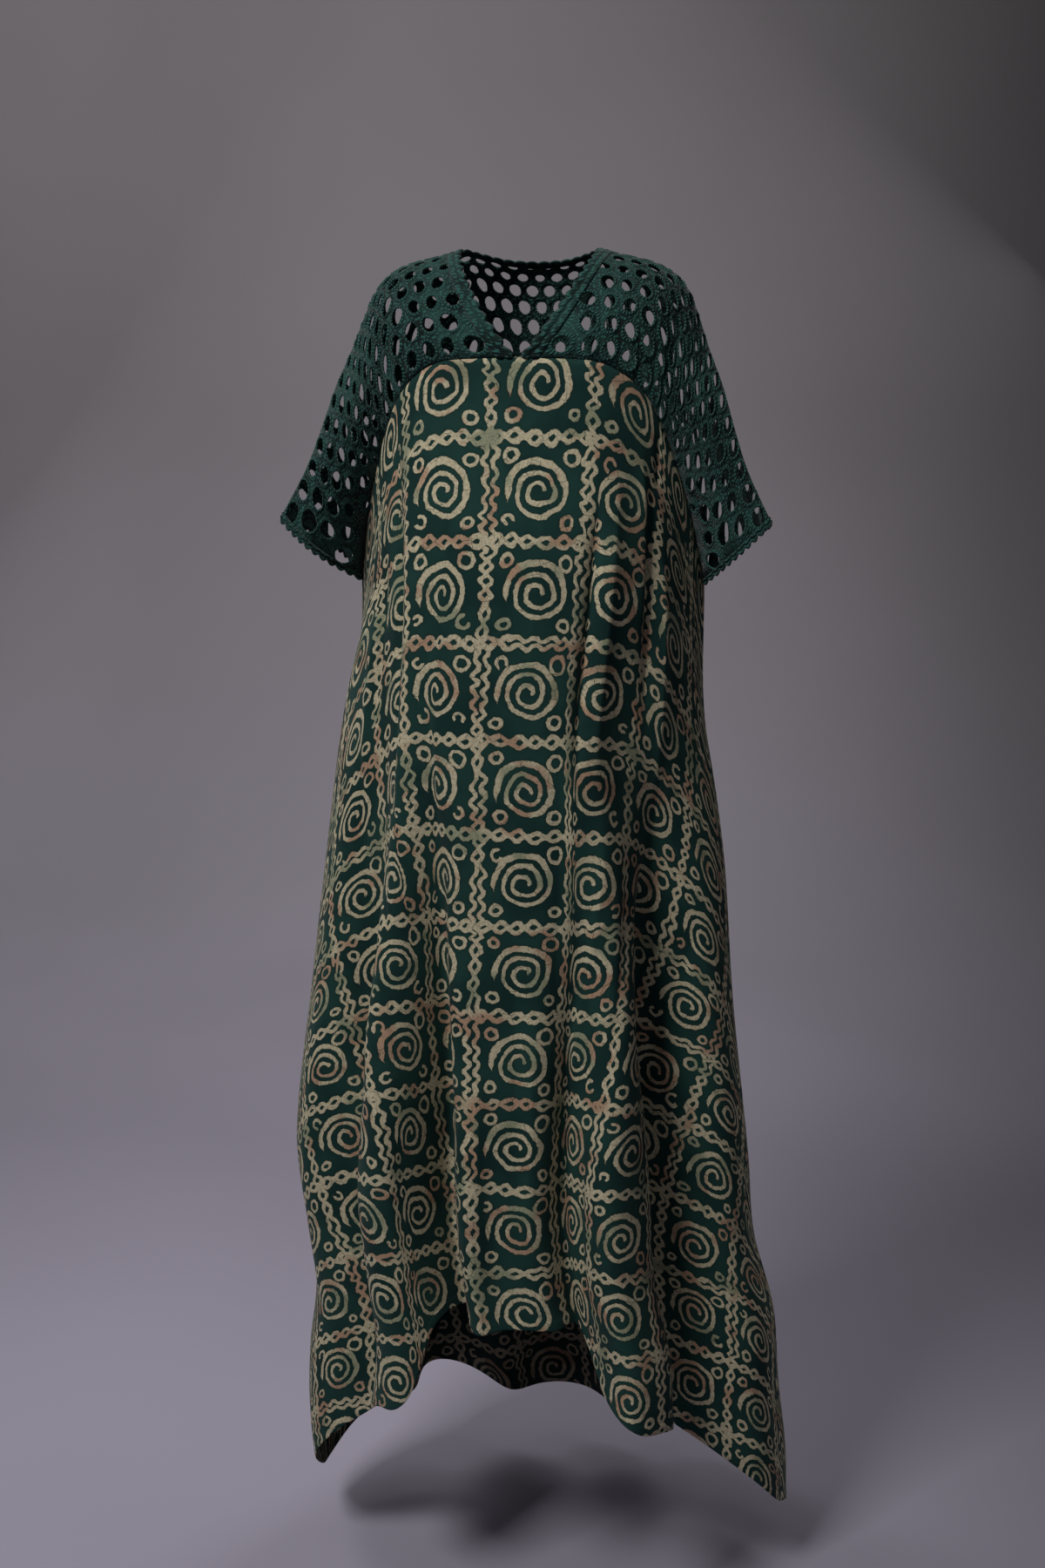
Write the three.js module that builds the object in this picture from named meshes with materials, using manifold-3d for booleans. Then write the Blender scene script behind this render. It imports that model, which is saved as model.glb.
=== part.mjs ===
// A long kaftan dress, worn: lace yoke with short wide sleeves, and printed cotton front and back panels.
// Millimetres, +Z up. The front faces -Y and the wearer's left is +X. The origin is on the shoulder line,
// in the middle of the neck. Every piece of cloth is a thin closed wall, laid out over a worn surface that
// the tables below describe.
import * as THREE from 'three';
import { mergeVertices } from 'three/addons/utils/BufferGeometryUtils.js';
import Module from 'manifold-3d';

const wasm = await Module();
wasm.setup();

// ---- driving dimensions, mm ----
const COTTON_WALL = 1.4;          // printed cotton with its seam allowances
const LACE_WALL = 2.0;            // thick crochet-like lace
const SEAM_GAP = 0.5;             // between pieces that are sewn together
const NECK_BAND = 16;             // width of the neck edging
const CUFF_BAND = 9;              // width of the sleeve edging
const SEAM_BLEND = 260;           // height over which a panel leaves the yoke seam for the body's own section
const SIDE_SHARPNESS = 0.85;      // 0.5 is an ellipse, 1 a lens with pointed sides
const FRONT_FLATNESS = 2.6;       // 2 is round, more is flatter in front

// ---- grids, number of cells ----
const PANEL_GRID = { across: 60, down: 20 };
const LACE_GRID = { along: 18, across: 10, neck: 5 };

// ---- short tables ----
// Level sections of the body: reach to each side from the middle, and depth to the front and to the back.
const BODY_SECTIONS = [
  { z: -120, right: -196, left: 196, front: 116, back: 106 },
  { z: -250, right: -204, left: 202, front: 134, back: 112 },
  { z: -390, right: -211, left: 205, front: 142, back: 118 },
  { z: -520, right: -231, left: 210, front: 148, back: 124 },
  { z: -720, right: -258, left: 238, front: 160, back: 142 },
  { z: -900, right: -281, left: 252, front: 176, back: 162 },
  { z: -1100, right: -305, left: 275, front: 198, back: 188 },
  { z: -1200, right: -294, left: 284, front: 210, back: 200 },
  { z: -1300, right: -283, left: 311, front: 222, back: 210 },
  { z: -1400, right: -294, left: 320, front: 232, back: 216 },
  { z: -1500, right: -294, left: 332, front: 238, back: 220 },
  { z: -1600, right: -268, left: 334, front: 242, back: 222 },
];

// The seam between lace and cotton, from the middle (0) to the underarm (1); x and depth are taken both ways.
const YOKE_SEAM = {
  front: [
    { at: 0.00, x: 0, depth: 112, z: -122 },
    { at: 0.20, x: 55, depth: 111, z: -123 },
    { at: 0.35, x: 92, depth: 104, z: -127 },
    { at: 0.48, x: 122, depth: 92, z: -143 },
    { at: 0.60, x: 147, depth: 76, z: -171 },
    { at: 0.72, x: 166, depth: 58, z: -214 },
    { at: 0.84, x: 184, depth: 38, z: -270 },
    { at: 0.93, x: 198, depth: 19, z: -330 },
    { at: 1.00, x: 208, depth: 0, z: -388 },
  ],
  back: [
    { at: 0.00, x: 0, depth: 104, z: -165 },
    { at: 0.20, x: 52, depth: 103, z: -166 },
    { at: 0.35, x: 88, depth: 98, z: -170 },
    { at: 0.48, x: 118, depth: 88, z: -181 },
    { at: 0.60, x: 143, depth: 73, z: -204 },
    { at: 0.72, x: 164, depth: 55, z: -241 },
    { at: 0.84, x: 183, depth: 35, z: -290 },
    { at: 0.93, x: 197, depth: 17, z: -340 },
    { at: 1.00, x: 208, depth: 0, z: -388 },
  ],
};

// Height of the hem from the wearer's right side (-1) to the left side (1).
const HEM = {
  front: [
    { across: -1.00, z: -1568 },
    { across: -0.90, z: -1515 },
    { across: -0.78, z: -1438 },
    { across: -0.66, z: -1390 },
    { across: -0.52, z: -1362 },
    { across: -0.42, z: -1346 },
    { across: -0.36, z: -1266 },
    { across: -0.27, z: -1254 },
    { across: -0.10, z: -1250 },
    { across: 0.00, z: -1248 },
    { across: 0.18, z: -1250 },
    { across: 0.29, z: -1262 },
    { across: 0.35, z: -1330 },
    { across: 0.44, z: -1362 },
    { across: 0.60, z: -1382 },
    { across: 0.78, z: -1436 },
    { across: 0.92, z: -1530 },
    { across: 1.00, z: -1566 },
  ],
  back: [
    { across: -1.00, z: -1568 },
    { across: -0.80, z: -1518 },
    { across: -0.60, z: -1510 },
    { across: -0.20, z: -1548 },
    { across: 0.20, z: -1552 },
    { across: 0.62, z: -1536 },
    { across: 0.82, z: -1542 },
    { across: 1.00, z: -1566 },
  ],
};

// Hanging folds: where across the panel they start and reach the hem, the heights where they begin and are
// full, how far they stand out at the hem (minus is a valley), and half their width.
const FOLDS = {
  front: [
    { from: -0.48, to: -0.27, start: -460, full: -1000, out: -76, width: 29 },
    { from: -0.34, to: -0.13, start: -600, full: -1100, out: 24, width: 22 },
    { from: -0.60, to: -0.46, start: -440, full: -1000, out: 26, width: 44 },
    { from: -0.74, to: -0.72, start: -380, full: -900, out: -48, width: 27 },
    { from: -0.88, to: -0.87, start: -520, full: -1100, out: 14, width: 26 },
    { from: 0.42, to: 0.30, start: -600, full: -1100, out: -48, width: 23 },
    { from: 0.52, to: 0.42, start: -600, full: -1100, out: 30, width: 32 },
    { from: 0.79, to: 0.73, start: -440, full: -940, out: -74, width: 32 },
    { from: 0.64, to: 0.60, start: -480, full: -1000, out: 16, width: 34 },
    { from: 0.90, to: 0.89, start: -560, full: -1100, out: 20, width: 26 },
  ],
  back: [
    { from: -0.70, to: -0.74, start: -440, full: -1020, out: -46, width: 32 },
    { from: -0.48, to: -0.52, start: -480, full: -1080, out: 24, width: 42 },
    { from: -0.26, to: -0.28, start: -500, full: -1080, out: -34, width: 34 },
    { from: 0.02, to: -0.02, start: -600, full: -1120, out: 14, width: 46 },
    { from: 0.24, to: 0.22, start: -460, full: -1020, out: -30, width: 32 },
    { from: 0.44, to: 0.46, start: -520, full: -1080, out: 24, width: 40 },
    { from: 0.70, to: 0.72, start: -420, full: -1000, out: -52, width: 32 },
  ],
};

// Short creases that fade out again: place across, heights of the top, the strongest point and the end.
const CREASES = {
  front: [
    { across: -0.55, start: -150, full: -330, end: -760, out: 8, width: 26 },
    { across: 0.50, start: -140, full: -300, end: -620, out: 7, width: 28 },
    { across: 0.60, start: -330, full: -640, end: -980, out: -15, width: 26 },
    { across: -0.72, start: -240, full: -430, end: -760, out: -9, width: 26 },
  ],
  back: [
    { across: -0.52, start: -200, full: -380, end: -760, out: 8, width: 30 },
    { across: 0.54, start: -200, full: -360, end: -700, out: 8, width: 30 },
    { across: 0.05, start: -240, full: -460, end: -800, out: -8, width: 34 },
  ],
};

// The line over the shoulder and down the outside of the sleeve, from the neck (0) to the sleeve's corner
// (1), with the places on the front and back yoke seams that lie below each point, how roundly the lace goes
// over the shoulder, and how far the sleeve fills out to the front and to the back.
const SHOULDER_LINE = [
  { at: 0.00, x: 78, y: 0, z: 0, front: 0.00, back: 0.30, over: 1, fillFront: 0, fillBack: 0 },
  { at: 0.09, x: 112, y: 2, z: -7, front: 0.24, back: 0.38, over: 1, fillFront: 0, fillBack: 0 },
  { at: 0.18, x: 146, y: 1, z: -16, front: 0.40, back: 0.47, over: 1, fillFront: 2, fillBack: 2 },
  { at: 0.24, x: 168, y: -2, z: -28, front: 0.50, back: 0.54, over: 0.9, fillFront: 5, fillBack: 6 },
  { at: 0.30, x: 184, y: -7, z: -47, front: 0.58, back: 0.60, over: 0.7, fillFront: 10, fillBack: 14 },
  { at: 0.38, x: 197, y: -15, z: -78, front: 0.65, back: 0.66, over: 0.45, fillFront: 17, fillBack: 26 },
  { at: 0.47, x: 209, y: -24, z: -112, front: 0.71, back: 0.72, over: 0.25, fillFront: 23, fillBack: 36 },
  { at: 0.59, x: 226, y: -37, z: -154, front: 0.78, back: 0.79, over: 0.1, fillFront: 28, fillBack: 46 },
  { at: 0.71, x: 241, y: -50, z: -202, front: 0.85, back: 0.86, over: 0, fillFront: 32, fillBack: 52 },
  { at: 0.84, x: 258, y: -63, z: -250, front: 0.93, back: 0.93, over: 0, fillFront: 35, fillBack: 56 },
  { at: 1.00, x: 288, y: -80, z: -310, front: 1.00, back: 1.00, over: 0, fillFront: 38, fillBack: 60 },
];

// The back neckline, from the middle of the back (-0.22) to the neck point (0), with the back seam below it.
const BACK_NECK = [
  { at: -0.22, x: 0, y: 52, z: -12, back: 0.00 },
  { at: -0.14, x: 34, y: 47, z: -10, back: 0.10 },
  { at: -0.06, x: 63, y: 27, z: -4, back: 0.21 },
  { at: 0.00, x: 78, y: 0, z: 0, back: 0.30 },
];

const COTTON = { color: 0x22433a, roughness: 0.82, metalness: 0 };
const LACE = { color: 0x235a4d, roughness: 0.88, metalness: 0 };

// ---- smooth reading of a table ----
const clamp = (value, low, high) => Math.min(high, Math.max(low, value));
const lerp = (a, b, t) => a + (b - a) * t;

function smoothstep(from, to, value) {
  const t = clamp((value - from) / (to - from), 0, 1);
  return t * t * (3 - 2 * t);
}

// Cubic through the rows of a table, with the slope at each row taken from its neighbours.
function read(rows, key, column, value) {
  const up = rows[rows.length - 1][key] > rows[0][key] ? 1 : -1;
  const at = clamp(value * up, rows[0][key] * up, rows[rows.length - 1][key] * up) * up;
  let i = 0;
  while (i < rows.length - 2 && at * up > rows[i + 1][key] * up) i += 1;
  const slope = (k) => {
    const before = rows[Math.max(0, k - 1)];
    const after = rows[Math.min(rows.length - 1, k + 1)];
    return (after[column] - before[column]) / (after[key] - before[key]);
  };
  const span = rows[i + 1][key] - rows[i][key];
  const t = (at - rows[i][key]) / span;
  const t2 = t * t;
  const t3 = t2 * t;
  return (2 * t3 - 3 * t2 + 1) * rows[i][column] + (t3 - 2 * t2 + t) * slope(i) * span
    + (3 * t2 - 2 * t3) * rows[i + 1][column] + (t3 - t2) * slope(i + 1) * span;
}

// ---- worn surfaces ----
const FACING = { front: -1, back: 1 };

// A point of the yoke seam; hand is -1 or 1, and at runs from 0 in the middle to 1 at the underarm.
function seamPoint(side, hand, at) {
  const rows = YOKE_SEAM[side];
  return new THREE.Vector3(
    hand * read(rows, 'at', 'x', at),
    FACING[side] * (read(rows, 'at', 'depth', at) + SEAM_GAP / 2),
    read(rows, 'at', 'z', at),
  );
}

// How far the folds move the cloth outwards at a height, for a place across the panel.
function foldDepth(side, across, halfWidth, z) {
  let out = 0;
  for (const fold of FOLDS[side]) {
    const down = clamp((fold.start - z) / (fold.start - fold.full), 0, 1.2);
    const centre = lerp(fold.from, fold.to, clamp(down, 0, 1));
    const distance = (across - centre) * halfWidth / fold.width;
    out += fold.out * smoothstep(0, 1, down) * Math.exp(-distance * distance);
  }
  for (const crease of CREASES[side]) {
    const rise = smoothstep(crease.start, crease.full, z);
    const fade = 1 - smoothstep(crease.full, crease.end, z);
    const distance = (across - crease.across) * halfWidth / crease.width;
    out += crease.out * Math.min(rise, fade) * Math.exp(-distance * distance);
  }
  return out;
}

// A point of the front or back panel: turn runs from -1 to 1 round the side, down from 0 at the seam to 1.
function panelPoint(side, turn, down) {
  const angle = turn * Math.PI / 2;
  const across = Math.sin(angle);
  const top = seamPoint(side, Math.sign(turn) || 1, Math.abs(turn));
  const z = lerp(top.z, read(HEM[side], 'across', 'z', across), down);
  const right = read(BODY_SECTIONS, 'z', 'right', z);
  const left = read(BODY_SECTIONS, 'z', 'left', z);
  const depth = read(BODY_SECTIONS, 'z', side, z);
  const halfWidth = (left - right) / 2;
  const section = (t) => {
    const s = Math.sin(t);
    const bow = (1 - Math.abs(s) ** FRONT_FLATNESS) ** SIDE_SHARPNESS;
    return new THREE.Vector2((left + right) / 2 + halfWidth * s, FACING[side] * (depth * bow + SEAM_GAP / 2));
  };
  const leave = smoothstep(0, SEAM_BLEND, top.z - z);
  const ring = section(angle);
  const step = 0.02;
  const tangent = section(Math.min(angle + step, Math.PI / 2)).sub(section(Math.max(angle - step, -Math.PI / 2)));
  const outward = new THREE.Vector2(-FACING[side] * tangent.y, FACING[side] * tangent.x);
  outward.normalize();
  const quiet = 1 - Math.abs(turn) ** 10;
  const out = foldDepth(side, across, halfWidth, z) * quiet * leave;
  return new THREE.Vector3(
    lerp(top.x, ring.x, leave) + outward.x * out,
    lerp(top.y, ring.y, leave) + outward.y * out,
    z,
  );
}

// A point of the lace: along runs from the neck (0) to the sleeve's end (1), or from the middle of the back,
// and over from the shoulder line (0) to the yoke seam (1).
function lacePoint(side, hand, along, over, apart = SEAM_GAP / 2) {
  const neck = side === 'back' && along < 0;
  const rows = neck ? BACK_NECK : SHOULDER_LINE;
  const column = (name) => read(rows, 'at', name, along);
  const low = seamPoint(side, hand, clamp(column(side), 0, 1));
  const top = new THREE.Vector3(hand * column('x'), column('y') + FACING[side] * apart, column('z'));
  const round = neck ? 1 : clamp(column('over'), 0, 1);
  const fill = neck ? 0 : Math.max(0, column(side === 'front' ? 'fillFront' : 'fillBack'));
  const quarter = over * Math.PI / 2;
  const inwards = side === 'front' ? lerp(over, Math.max(over, 0) ** 2.2, round) : over;
  return new THREE.Vector3(
    lerp(top.x, low.x, inwards) + (side === 'front' ? hand * SEAM_GAP : 0),
    lerp(top.y, low.y, lerp(over, Math.sin(quarter), round)) + FACING[side] * fill * Math.sin(over * Math.PI),
    lerp(top.z, low.z, lerp(over, 1 - Math.cos(quarter), round)),
  );
}

// ---- walls ----
// A closed wall under a surface: point(u, v) gives the outer side, and the wall goes inwards from it.
// pinned(u, v) says where the edge lies on the plane between front and back, which the wall doesn't cross.
function wallGeometry(point, us, vs, thickness, outwards, pinned = () => false) {
  const du = (us[us.length - 1] - us[0]) * 1e-3;
  const dv = (vs[vs.length - 1] - vs[0]) * 1e-3;
  const positions = [];
  const columns = us.length;
  for (const inner of [0, 1]) {
    for (const v of vs) {
      for (const u of us) {
        const p = point(u, v);
        const alongU = point(u + du, v).sub(point(u - du, v));
        const alongV = point(u, v + dv).sub(point(u, v - dv));
        const normal = alongU.cross(alongV).multiplyScalar(outwards);
        if (pinned(u, v)) normal.y = 0;
        normal.normalize();
        p.addScaledVector(normal, -thickness * inner);
        positions.push(p.x, p.y, p.z);
      }
    }
  }
  const layer = columns * vs.length;
  const index = (i, j, inner) => inner * layer + j * columns + i;
  const triangles = [];
  const quad = (a, b, c, d) => triangles.push(a, b, c, a, c, d);
  for (let j = 0; j < vs.length - 1; j += 1) {
    for (let i = 0; i < columns - 1; i += 1) {
      quad(index(i, j, 0), index(i + 1, j, 0), index(i + 1, j + 1, 0), index(i, j + 1, 0));
      quad(index(i, j, 1), index(i, j + 1, 1), index(i + 1, j + 1, 1), index(i + 1, j, 1));
    }
  }
  for (let i = 0; i < columns - 1; i += 1) {
    const last = vs.length - 1;
    quad(index(i, 0, 0), index(i, 0, 1), index(i + 1, 0, 1), index(i + 1, 0, 0));
    quad(index(i + 1, last, 0), index(i + 1, last, 1), index(i, last, 1), index(i, last, 0));
  }
  for (let j = 0; j < vs.length - 1; j += 1) {
    const last = columns - 1;
    quad(index(0, j + 1, 0), index(0, j + 1, 1), index(0, j, 1), index(0, j, 0));
    quad(index(last, j, 0), index(last, j, 1), index(last, j + 1, 1), index(last, j + 1, 0));
  }
  if (outwards < 0) {
    for (let k = 0; k < triangles.length; k += 3) {
      [triangles[k + 1], triangles[k + 2]] = [triangles[k + 2], triangles[k + 1]];
    }
  }
  const geometry = new THREE.BufferGeometry();
  geometry.setAttribute('position', new THREE.Float32BufferAttribute(positions, 3));
  geometry.setIndex(triangles);
  return geometry;
}

function steps(from, to, count) {
  return Array.from({ length: count + 1 }, (_, i) => lerp(from, to, i / count));
}

// ---- joining closed walls into one solid ----
function toSolid(geometry) {
  const bare = geometry.clone();
  bare.deleteAttribute('normal');
  bare.deleteAttribute('uv');
  const merged = mergeVertices(bare, 1e-4);
  return new wasm.Manifold(new wasm.Mesh({
    numProp: 3,
    vertProperties: new Float32Array(merged.attributes.position.array),
    triVerts: new Uint32Array(merged.index.array),
  }));
}

function joined(geometries) {
  const solid = geometries.map(toSolid).reduce((sum, next) => sum.add(next));
  const mesh = solid.getMesh();
  const geometry = new THREE.BufferGeometry();
  geometry.setAttribute('position', new THREE.BufferAttribute(Float32Array.from(mesh.vertProperties), 3));
  geometry.setIndex(new THREE.BufferAttribute(Uint32Array.from(mesh.triVerts), 1));
  return geometry;
}

// ---- pieces ----
const FULL = { along: 1, over: 1 };
const SEAM_END = 1 - 0.004;                 // the lace stops a seam gap short of the cotton
const BACK_HALF = 0.22;                     // how far the back neckline reaches from the neck point
const AT_SHOULDER = NECK_BAND / 386;        // the neck band's width along the shoulder line
const AT_V_POINT = NECK_BAND / 556;         // and along the yoke seam
const CUFF = CUFF_BAND / 414;
const JOIN = 0.4;                           // how far the two halves of an edging run into each other
const BAND_GAP = 0.9 / 400;                 // between the lace and its edgings, along the shoulder line

function named(name, geometry, material) {
  const mesh = new THREE.Mesh(geometry, new THREE.MeshStandardMaterial(material));
  mesh.name = name;
  return mesh;
}

function panel(side) {
  const point = (turn, down) => panelPoint(side, clamp(turn, -1, 1), clamp(down, 0, 1));
  const turns = steps(-1, 1, PANEL_GRID.across);
  const pinned = (turn) => Math.abs(turn) > 0.999;
  const geometry = wallGeometry(point, turns, steps(0, 1, PANEL_GRID.down), COTTON_WALL, FACING[side], pinned);
  return named(`${side}_panel`, geometry, COTTON);
}

// Widths of the neck band, as a share of the surface, in front and at the back.
const frontNeckWidth = (over) => lerp(AT_SHOULDER, AT_V_POINT, over);
const backNeckWidth = (along) => lerp(0.105, 0.16, clamp(-along / BACK_HALF, 0, 1));

function laceFront(hand) {
  const gap = BAND_GAP;
  const point = (part, over) => {
    const from = frontNeckWidth(over) + gap;
    const to = FULL.along - CUFF - gap * (1 + (1 - clamp(over, 0, 1)) ** 6);
    return lacePoint('front', hand, lerp(from, to, part), over * SEAM_END);
  };
  const onShoulder = (part, over) => over < 0.001;
  const geometry = wallGeometry(point, steps(0, 1, LACE_GRID.along), steps(0, 1, LACE_GRID.across),
    LACE_WALL, FACING.front * hand, onShoulder);
  return named(`lace_front_${hand > 0 ? 'left' : 'right'}`, geometry, LACE);
}

function laceBack() {
  const gap = BAND_GAP;
  const bandEnd = AT_SHOULDER + 2 * gap;
  const reach = BACK_HALF + FULL.along - CUFF - gap;
  const start = (along) => (backNeckWidth(along) + 0.01) * (1 - clamp((along - bandEnd) / 0.004, 0, 1));
  const point = (across, part) => {
    const along = Math.abs(across) - BACK_HALF;
    return lacePoint('back', across < 0 ? -1 : 1, along, lerp(start(along), SEAM_END, part));
  };
  const half = [
    ...steps(0, BACK_HALF, LACE_GRID.neck),
    BACK_HALF + bandEnd,
    ...steps(BACK_HALF + bandEnd + 0.004, reach, LACE_GRID.along - 1),
  ];
  const across = [...half.slice(1).reverse().map((a) => -a), ...half];
  const onShoulder = (u, part) => part < 0.001 && Math.abs(u) > BACK_HALF + bandEnd + 0.003;
  const geometry = wallGeometry(point, across, steps(0, 1, LACE_GRID.across), LACE_WALL, FACING.back, onShoulder);
  return named('lace_back', geometry, LACE);
}

function neckEdging() {
  const strips = [-1, 1].map((hand) => {
    const point = (part, over) => lacePoint('front', hand, frontNeckWidth(over) * part, over * SEAM_END, -JOIN);
    return wallGeometry(point, [0, 0.5, 1], steps(0, 1, LACE_GRID.across), LACE_WALL, FACING.front * hand,
      (part, over) => over < 0.001);
  });
  const reach = BACK_HALF + AT_SHOULDER;
  const point = (across, part) => {
    const along = Math.abs(across) - BACK_HALF;
    return lacePoint('back', across < 0 ? -1 : 1, along, backNeckWidth(along) * part, -JOIN);
  };
  const half = [...steps(0, BACK_HALF, LACE_GRID.neck), reach];
  const across = [...half.slice(1).reverse().map((a) => -a), ...half];
  strips.push(wallGeometry(point, across, [0, 0.5, 1], LACE_WALL, FACING.back,
    (u, part) => part < 0.001 && Math.abs(u) > BACK_HALF + 0.001));
  return named('neck_edging', joined(strips), LACE);
}

function cuffEdging(hand) {
  const halves = ['front', 'back'].map((side) => {
    const point = (part, over) => lacePoint(side, hand, lerp(1 - CUFF, 1, part), over * SEAM_END, -JOIN);
    return wallGeometry(point, [0, 1], steps(0, 1, LACE_GRID.across), LACE_WALL,
      FACING[side] * hand, (part, over) => over < 0.001);
  });
  return named(`cuff_edging_${hand > 0 ? 'left' : 'right'}`, joined(halves), LACE);
}

const dress = new THREE.Group();
dress.add(
  panel('front'), panel('back'),
  laceFront(1), laceFront(-1), laceBack(),
  neckEdging(), cuffEdging(1), cuffEdging(-1),
);

export default dress;
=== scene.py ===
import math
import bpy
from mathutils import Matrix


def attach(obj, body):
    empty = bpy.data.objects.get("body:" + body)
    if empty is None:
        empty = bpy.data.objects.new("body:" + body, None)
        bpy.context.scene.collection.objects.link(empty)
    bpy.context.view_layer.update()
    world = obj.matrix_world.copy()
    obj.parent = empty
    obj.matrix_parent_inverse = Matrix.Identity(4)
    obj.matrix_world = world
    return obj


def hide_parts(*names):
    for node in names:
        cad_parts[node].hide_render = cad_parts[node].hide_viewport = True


bl_info = {
    "name": "Lace Maxi Dress",
    "version": (1, 0, 0),
    "blender": (4, 5, 0),
    "location": "3D View > Sidebar > Dress",
    "description": "A worn kaftan dress with a lace yoke and printed cotton panels",
    "category": "Add Mesh",
}

import bpy
import numpy as np
from mathutils import Vector
from mathutils.geometry import delaunay_2d_cdt
from bpy.props import FloatProperty, FloatVectorProperty, PointerProperty
from bpy.types import Operator, Panel, PropertyGroup

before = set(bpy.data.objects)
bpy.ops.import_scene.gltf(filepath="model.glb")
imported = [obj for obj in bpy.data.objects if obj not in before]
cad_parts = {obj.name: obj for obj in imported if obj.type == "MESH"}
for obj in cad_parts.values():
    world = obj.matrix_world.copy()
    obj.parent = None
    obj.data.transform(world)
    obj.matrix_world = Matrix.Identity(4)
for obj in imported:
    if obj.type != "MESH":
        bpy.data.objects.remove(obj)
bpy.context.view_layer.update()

MM = 0.001

# ---- sizes of the worn form, mm as in the solids

SEAM_GAP = 0.5
SEAM_BLEND = 260.0
SIDE_SHARPNESS = 0.85
FRONT_FLATNESS = 2.6
NECK_BAND = 16.0
CUFF_BAND = 9.0
BACK_HALF = 0.22
SHOULDER_RUN = 386.0  # lengths of the lace: over the shoulder, along the yoke seam, by the cuff, on average
SEAM_RUN = 556.0
SLEEVE_RUN = 414.0
LACE_RUN = 400.0
AT_SHOULDER = NECK_BAND / SHOULDER_RUN
AT_V_POINT = NECK_BAND / SEAM_RUN
CUFF = CUFF_BAND / SLEEVE_RUN
SEAM_END = 1.005
SHOULDER_TURN = 2.2  # how late the front lace leaves the shoulder line
TANGENT_STEP = 0.02
BIG_FOLD_QUIET = 10  # powers that keep folds and creases off the side seams
CREASE_QUIET = 12
FACING = {"front": -1.0, "back": 1.0}

# ---- finer sizes, mm

PANEL_COLUMNS = 297
PANEL_ROWS = 136
PANEL_DROP = 1250.0  # from the yoke seam to the hem in the middle, for the share that the hem takes
HEM_DEPTH = 12.0
HEM_RISE = 0.7
HEM_FOLD_FROM = 0.8  # share of the hem's depth where its edge begins
HEM_ROWS = 9
HEM_ROWS_REACH = 1.3
SEAM_QUIET = 12.0
LACE_EDGE_STEPS = 60
LACE_ROWS = {"front": (7.0, 4.3), "back": (8.4, 6.0)}  # at the neck and at the cuff
FIRST_LACE_ROW = 0.42
LACE_ROWS_CHANGE = (0.3, 0.9)
LACE_WIDENING = {"front": 0.0125, "back": 0.0080}
LACE_SAMPLES = (90, 25)
LACE_ROUNDS = 12
BACK_NECK_WIDTH = (0.105, 0.16)  # share of the lace at the shoulder and in the middle
BACK_NECK_TUCK = 0.012
SEAM_LAP_RISE = 0.3
EDGING_LAP = 2.0
EDGING_RISE = 0.4
CORD_RISE = 1.9
CORD_ROUNDNESS = 0.7
CORD_STEPS = 5
CORDS = 2
EDGING_SAMPLES = 60
SCALLOP_PITCH = 14.5
SCALLOP_DEPTH = 3.9
SCALLOP_RISE = 0.9
SCALLOP_RISES = (0.4, 0.8)
SCALLOP_STEPS = 8
HOLE_MARGIN = 1.4
SMALLEST_HOLE = 2.0
HOLE_CORNERS = 14
HOLE_SPREAD = (0.86, 1.10)
HOLE_UNEVENNESS = 0.035
HOLE_TILT = 0.35
CUFF_HOLE_GROWTH = 0.22
CUFF_HOLES = (75.0, 10.0)  # distances from the cuff where holes start and stop to grow
RING_CLEARANCE = 0.4
SAME_POINT = 1e-5
CREASE_SHARPNESS = 1.3
CREASE_FADES = ((0.0, 0.3), (0.62, 1.0))
HOLE_CORD = ((0.0, -0.4), (1.4, 1.5), (3.0, 0.0))  # rings round a hole: growth and height
LACE_SEEDS = {"lace_front_left_net": 3, "lace_front_right_net": 5, "lace_back_net": 8}
LACE_PIECES = {"lace_front_left": ("front", 1), "lace_front_right": ("front", -1), "lace_back": ("back", 1)}

# Cuts on the flat: width and length, and area, in metres.
PANEL_CUT = {"front": ((1.00, 1.40), 1.00), "back": ((1.00, 1.40), 1.10)}
LACE_CUT = {"front": ((0.40, 0.20), 0.0553), "back": ((1.02, 0.212), 0.159)}
EDGING_CUT = {"neck": ((0.016, 0.62), None), "cuff": ((0.011, 0.30), None)}

# ---- sizes of the print and the stitches, m

FIRST_COLUMN = -0.030
FIRST_ROW = 0.0888
COLUMN_TAKE_UP = 0.08
ROW_TAKE_UP = 0.1045
PRINT_SHIFT = {"front": (0.0, 0.0), "back": (0.047, 0.028)}
WAX_WAVER = ((30, 3.1, 0.008), (170, 7.7, 0.0026))  # scale, offset and amount
LINE_SOFTNESS = (-0.0005, 0.0006)
LINE_FRAY = 0.0009
FRAY_NOISE = (900, 1, 2.0)
CRACKS = {"scale": 62, "width": (0.010, 0.035), "loss": 0.75}
SPECK_LOSS = 0.35
HALO = {"width": 0.0035, "depth": 0.55}
NOISE_SKEW = 0.7
COTTON_THREAD = 0.0009
# The weave's shade is painted into the cotton's colour; its rise goes to the bump.
WEAVE = {"shade": 0.05, "rise": 0.1}
CREPING = (75, 3, 8.0)
COTTON_ROUGHNESS = (0.8, 0.12, 0.06)  # plain, how uneven, and how much less on wax
ROUGHNESS_NOISE = (60, 2, 6.0)
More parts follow.
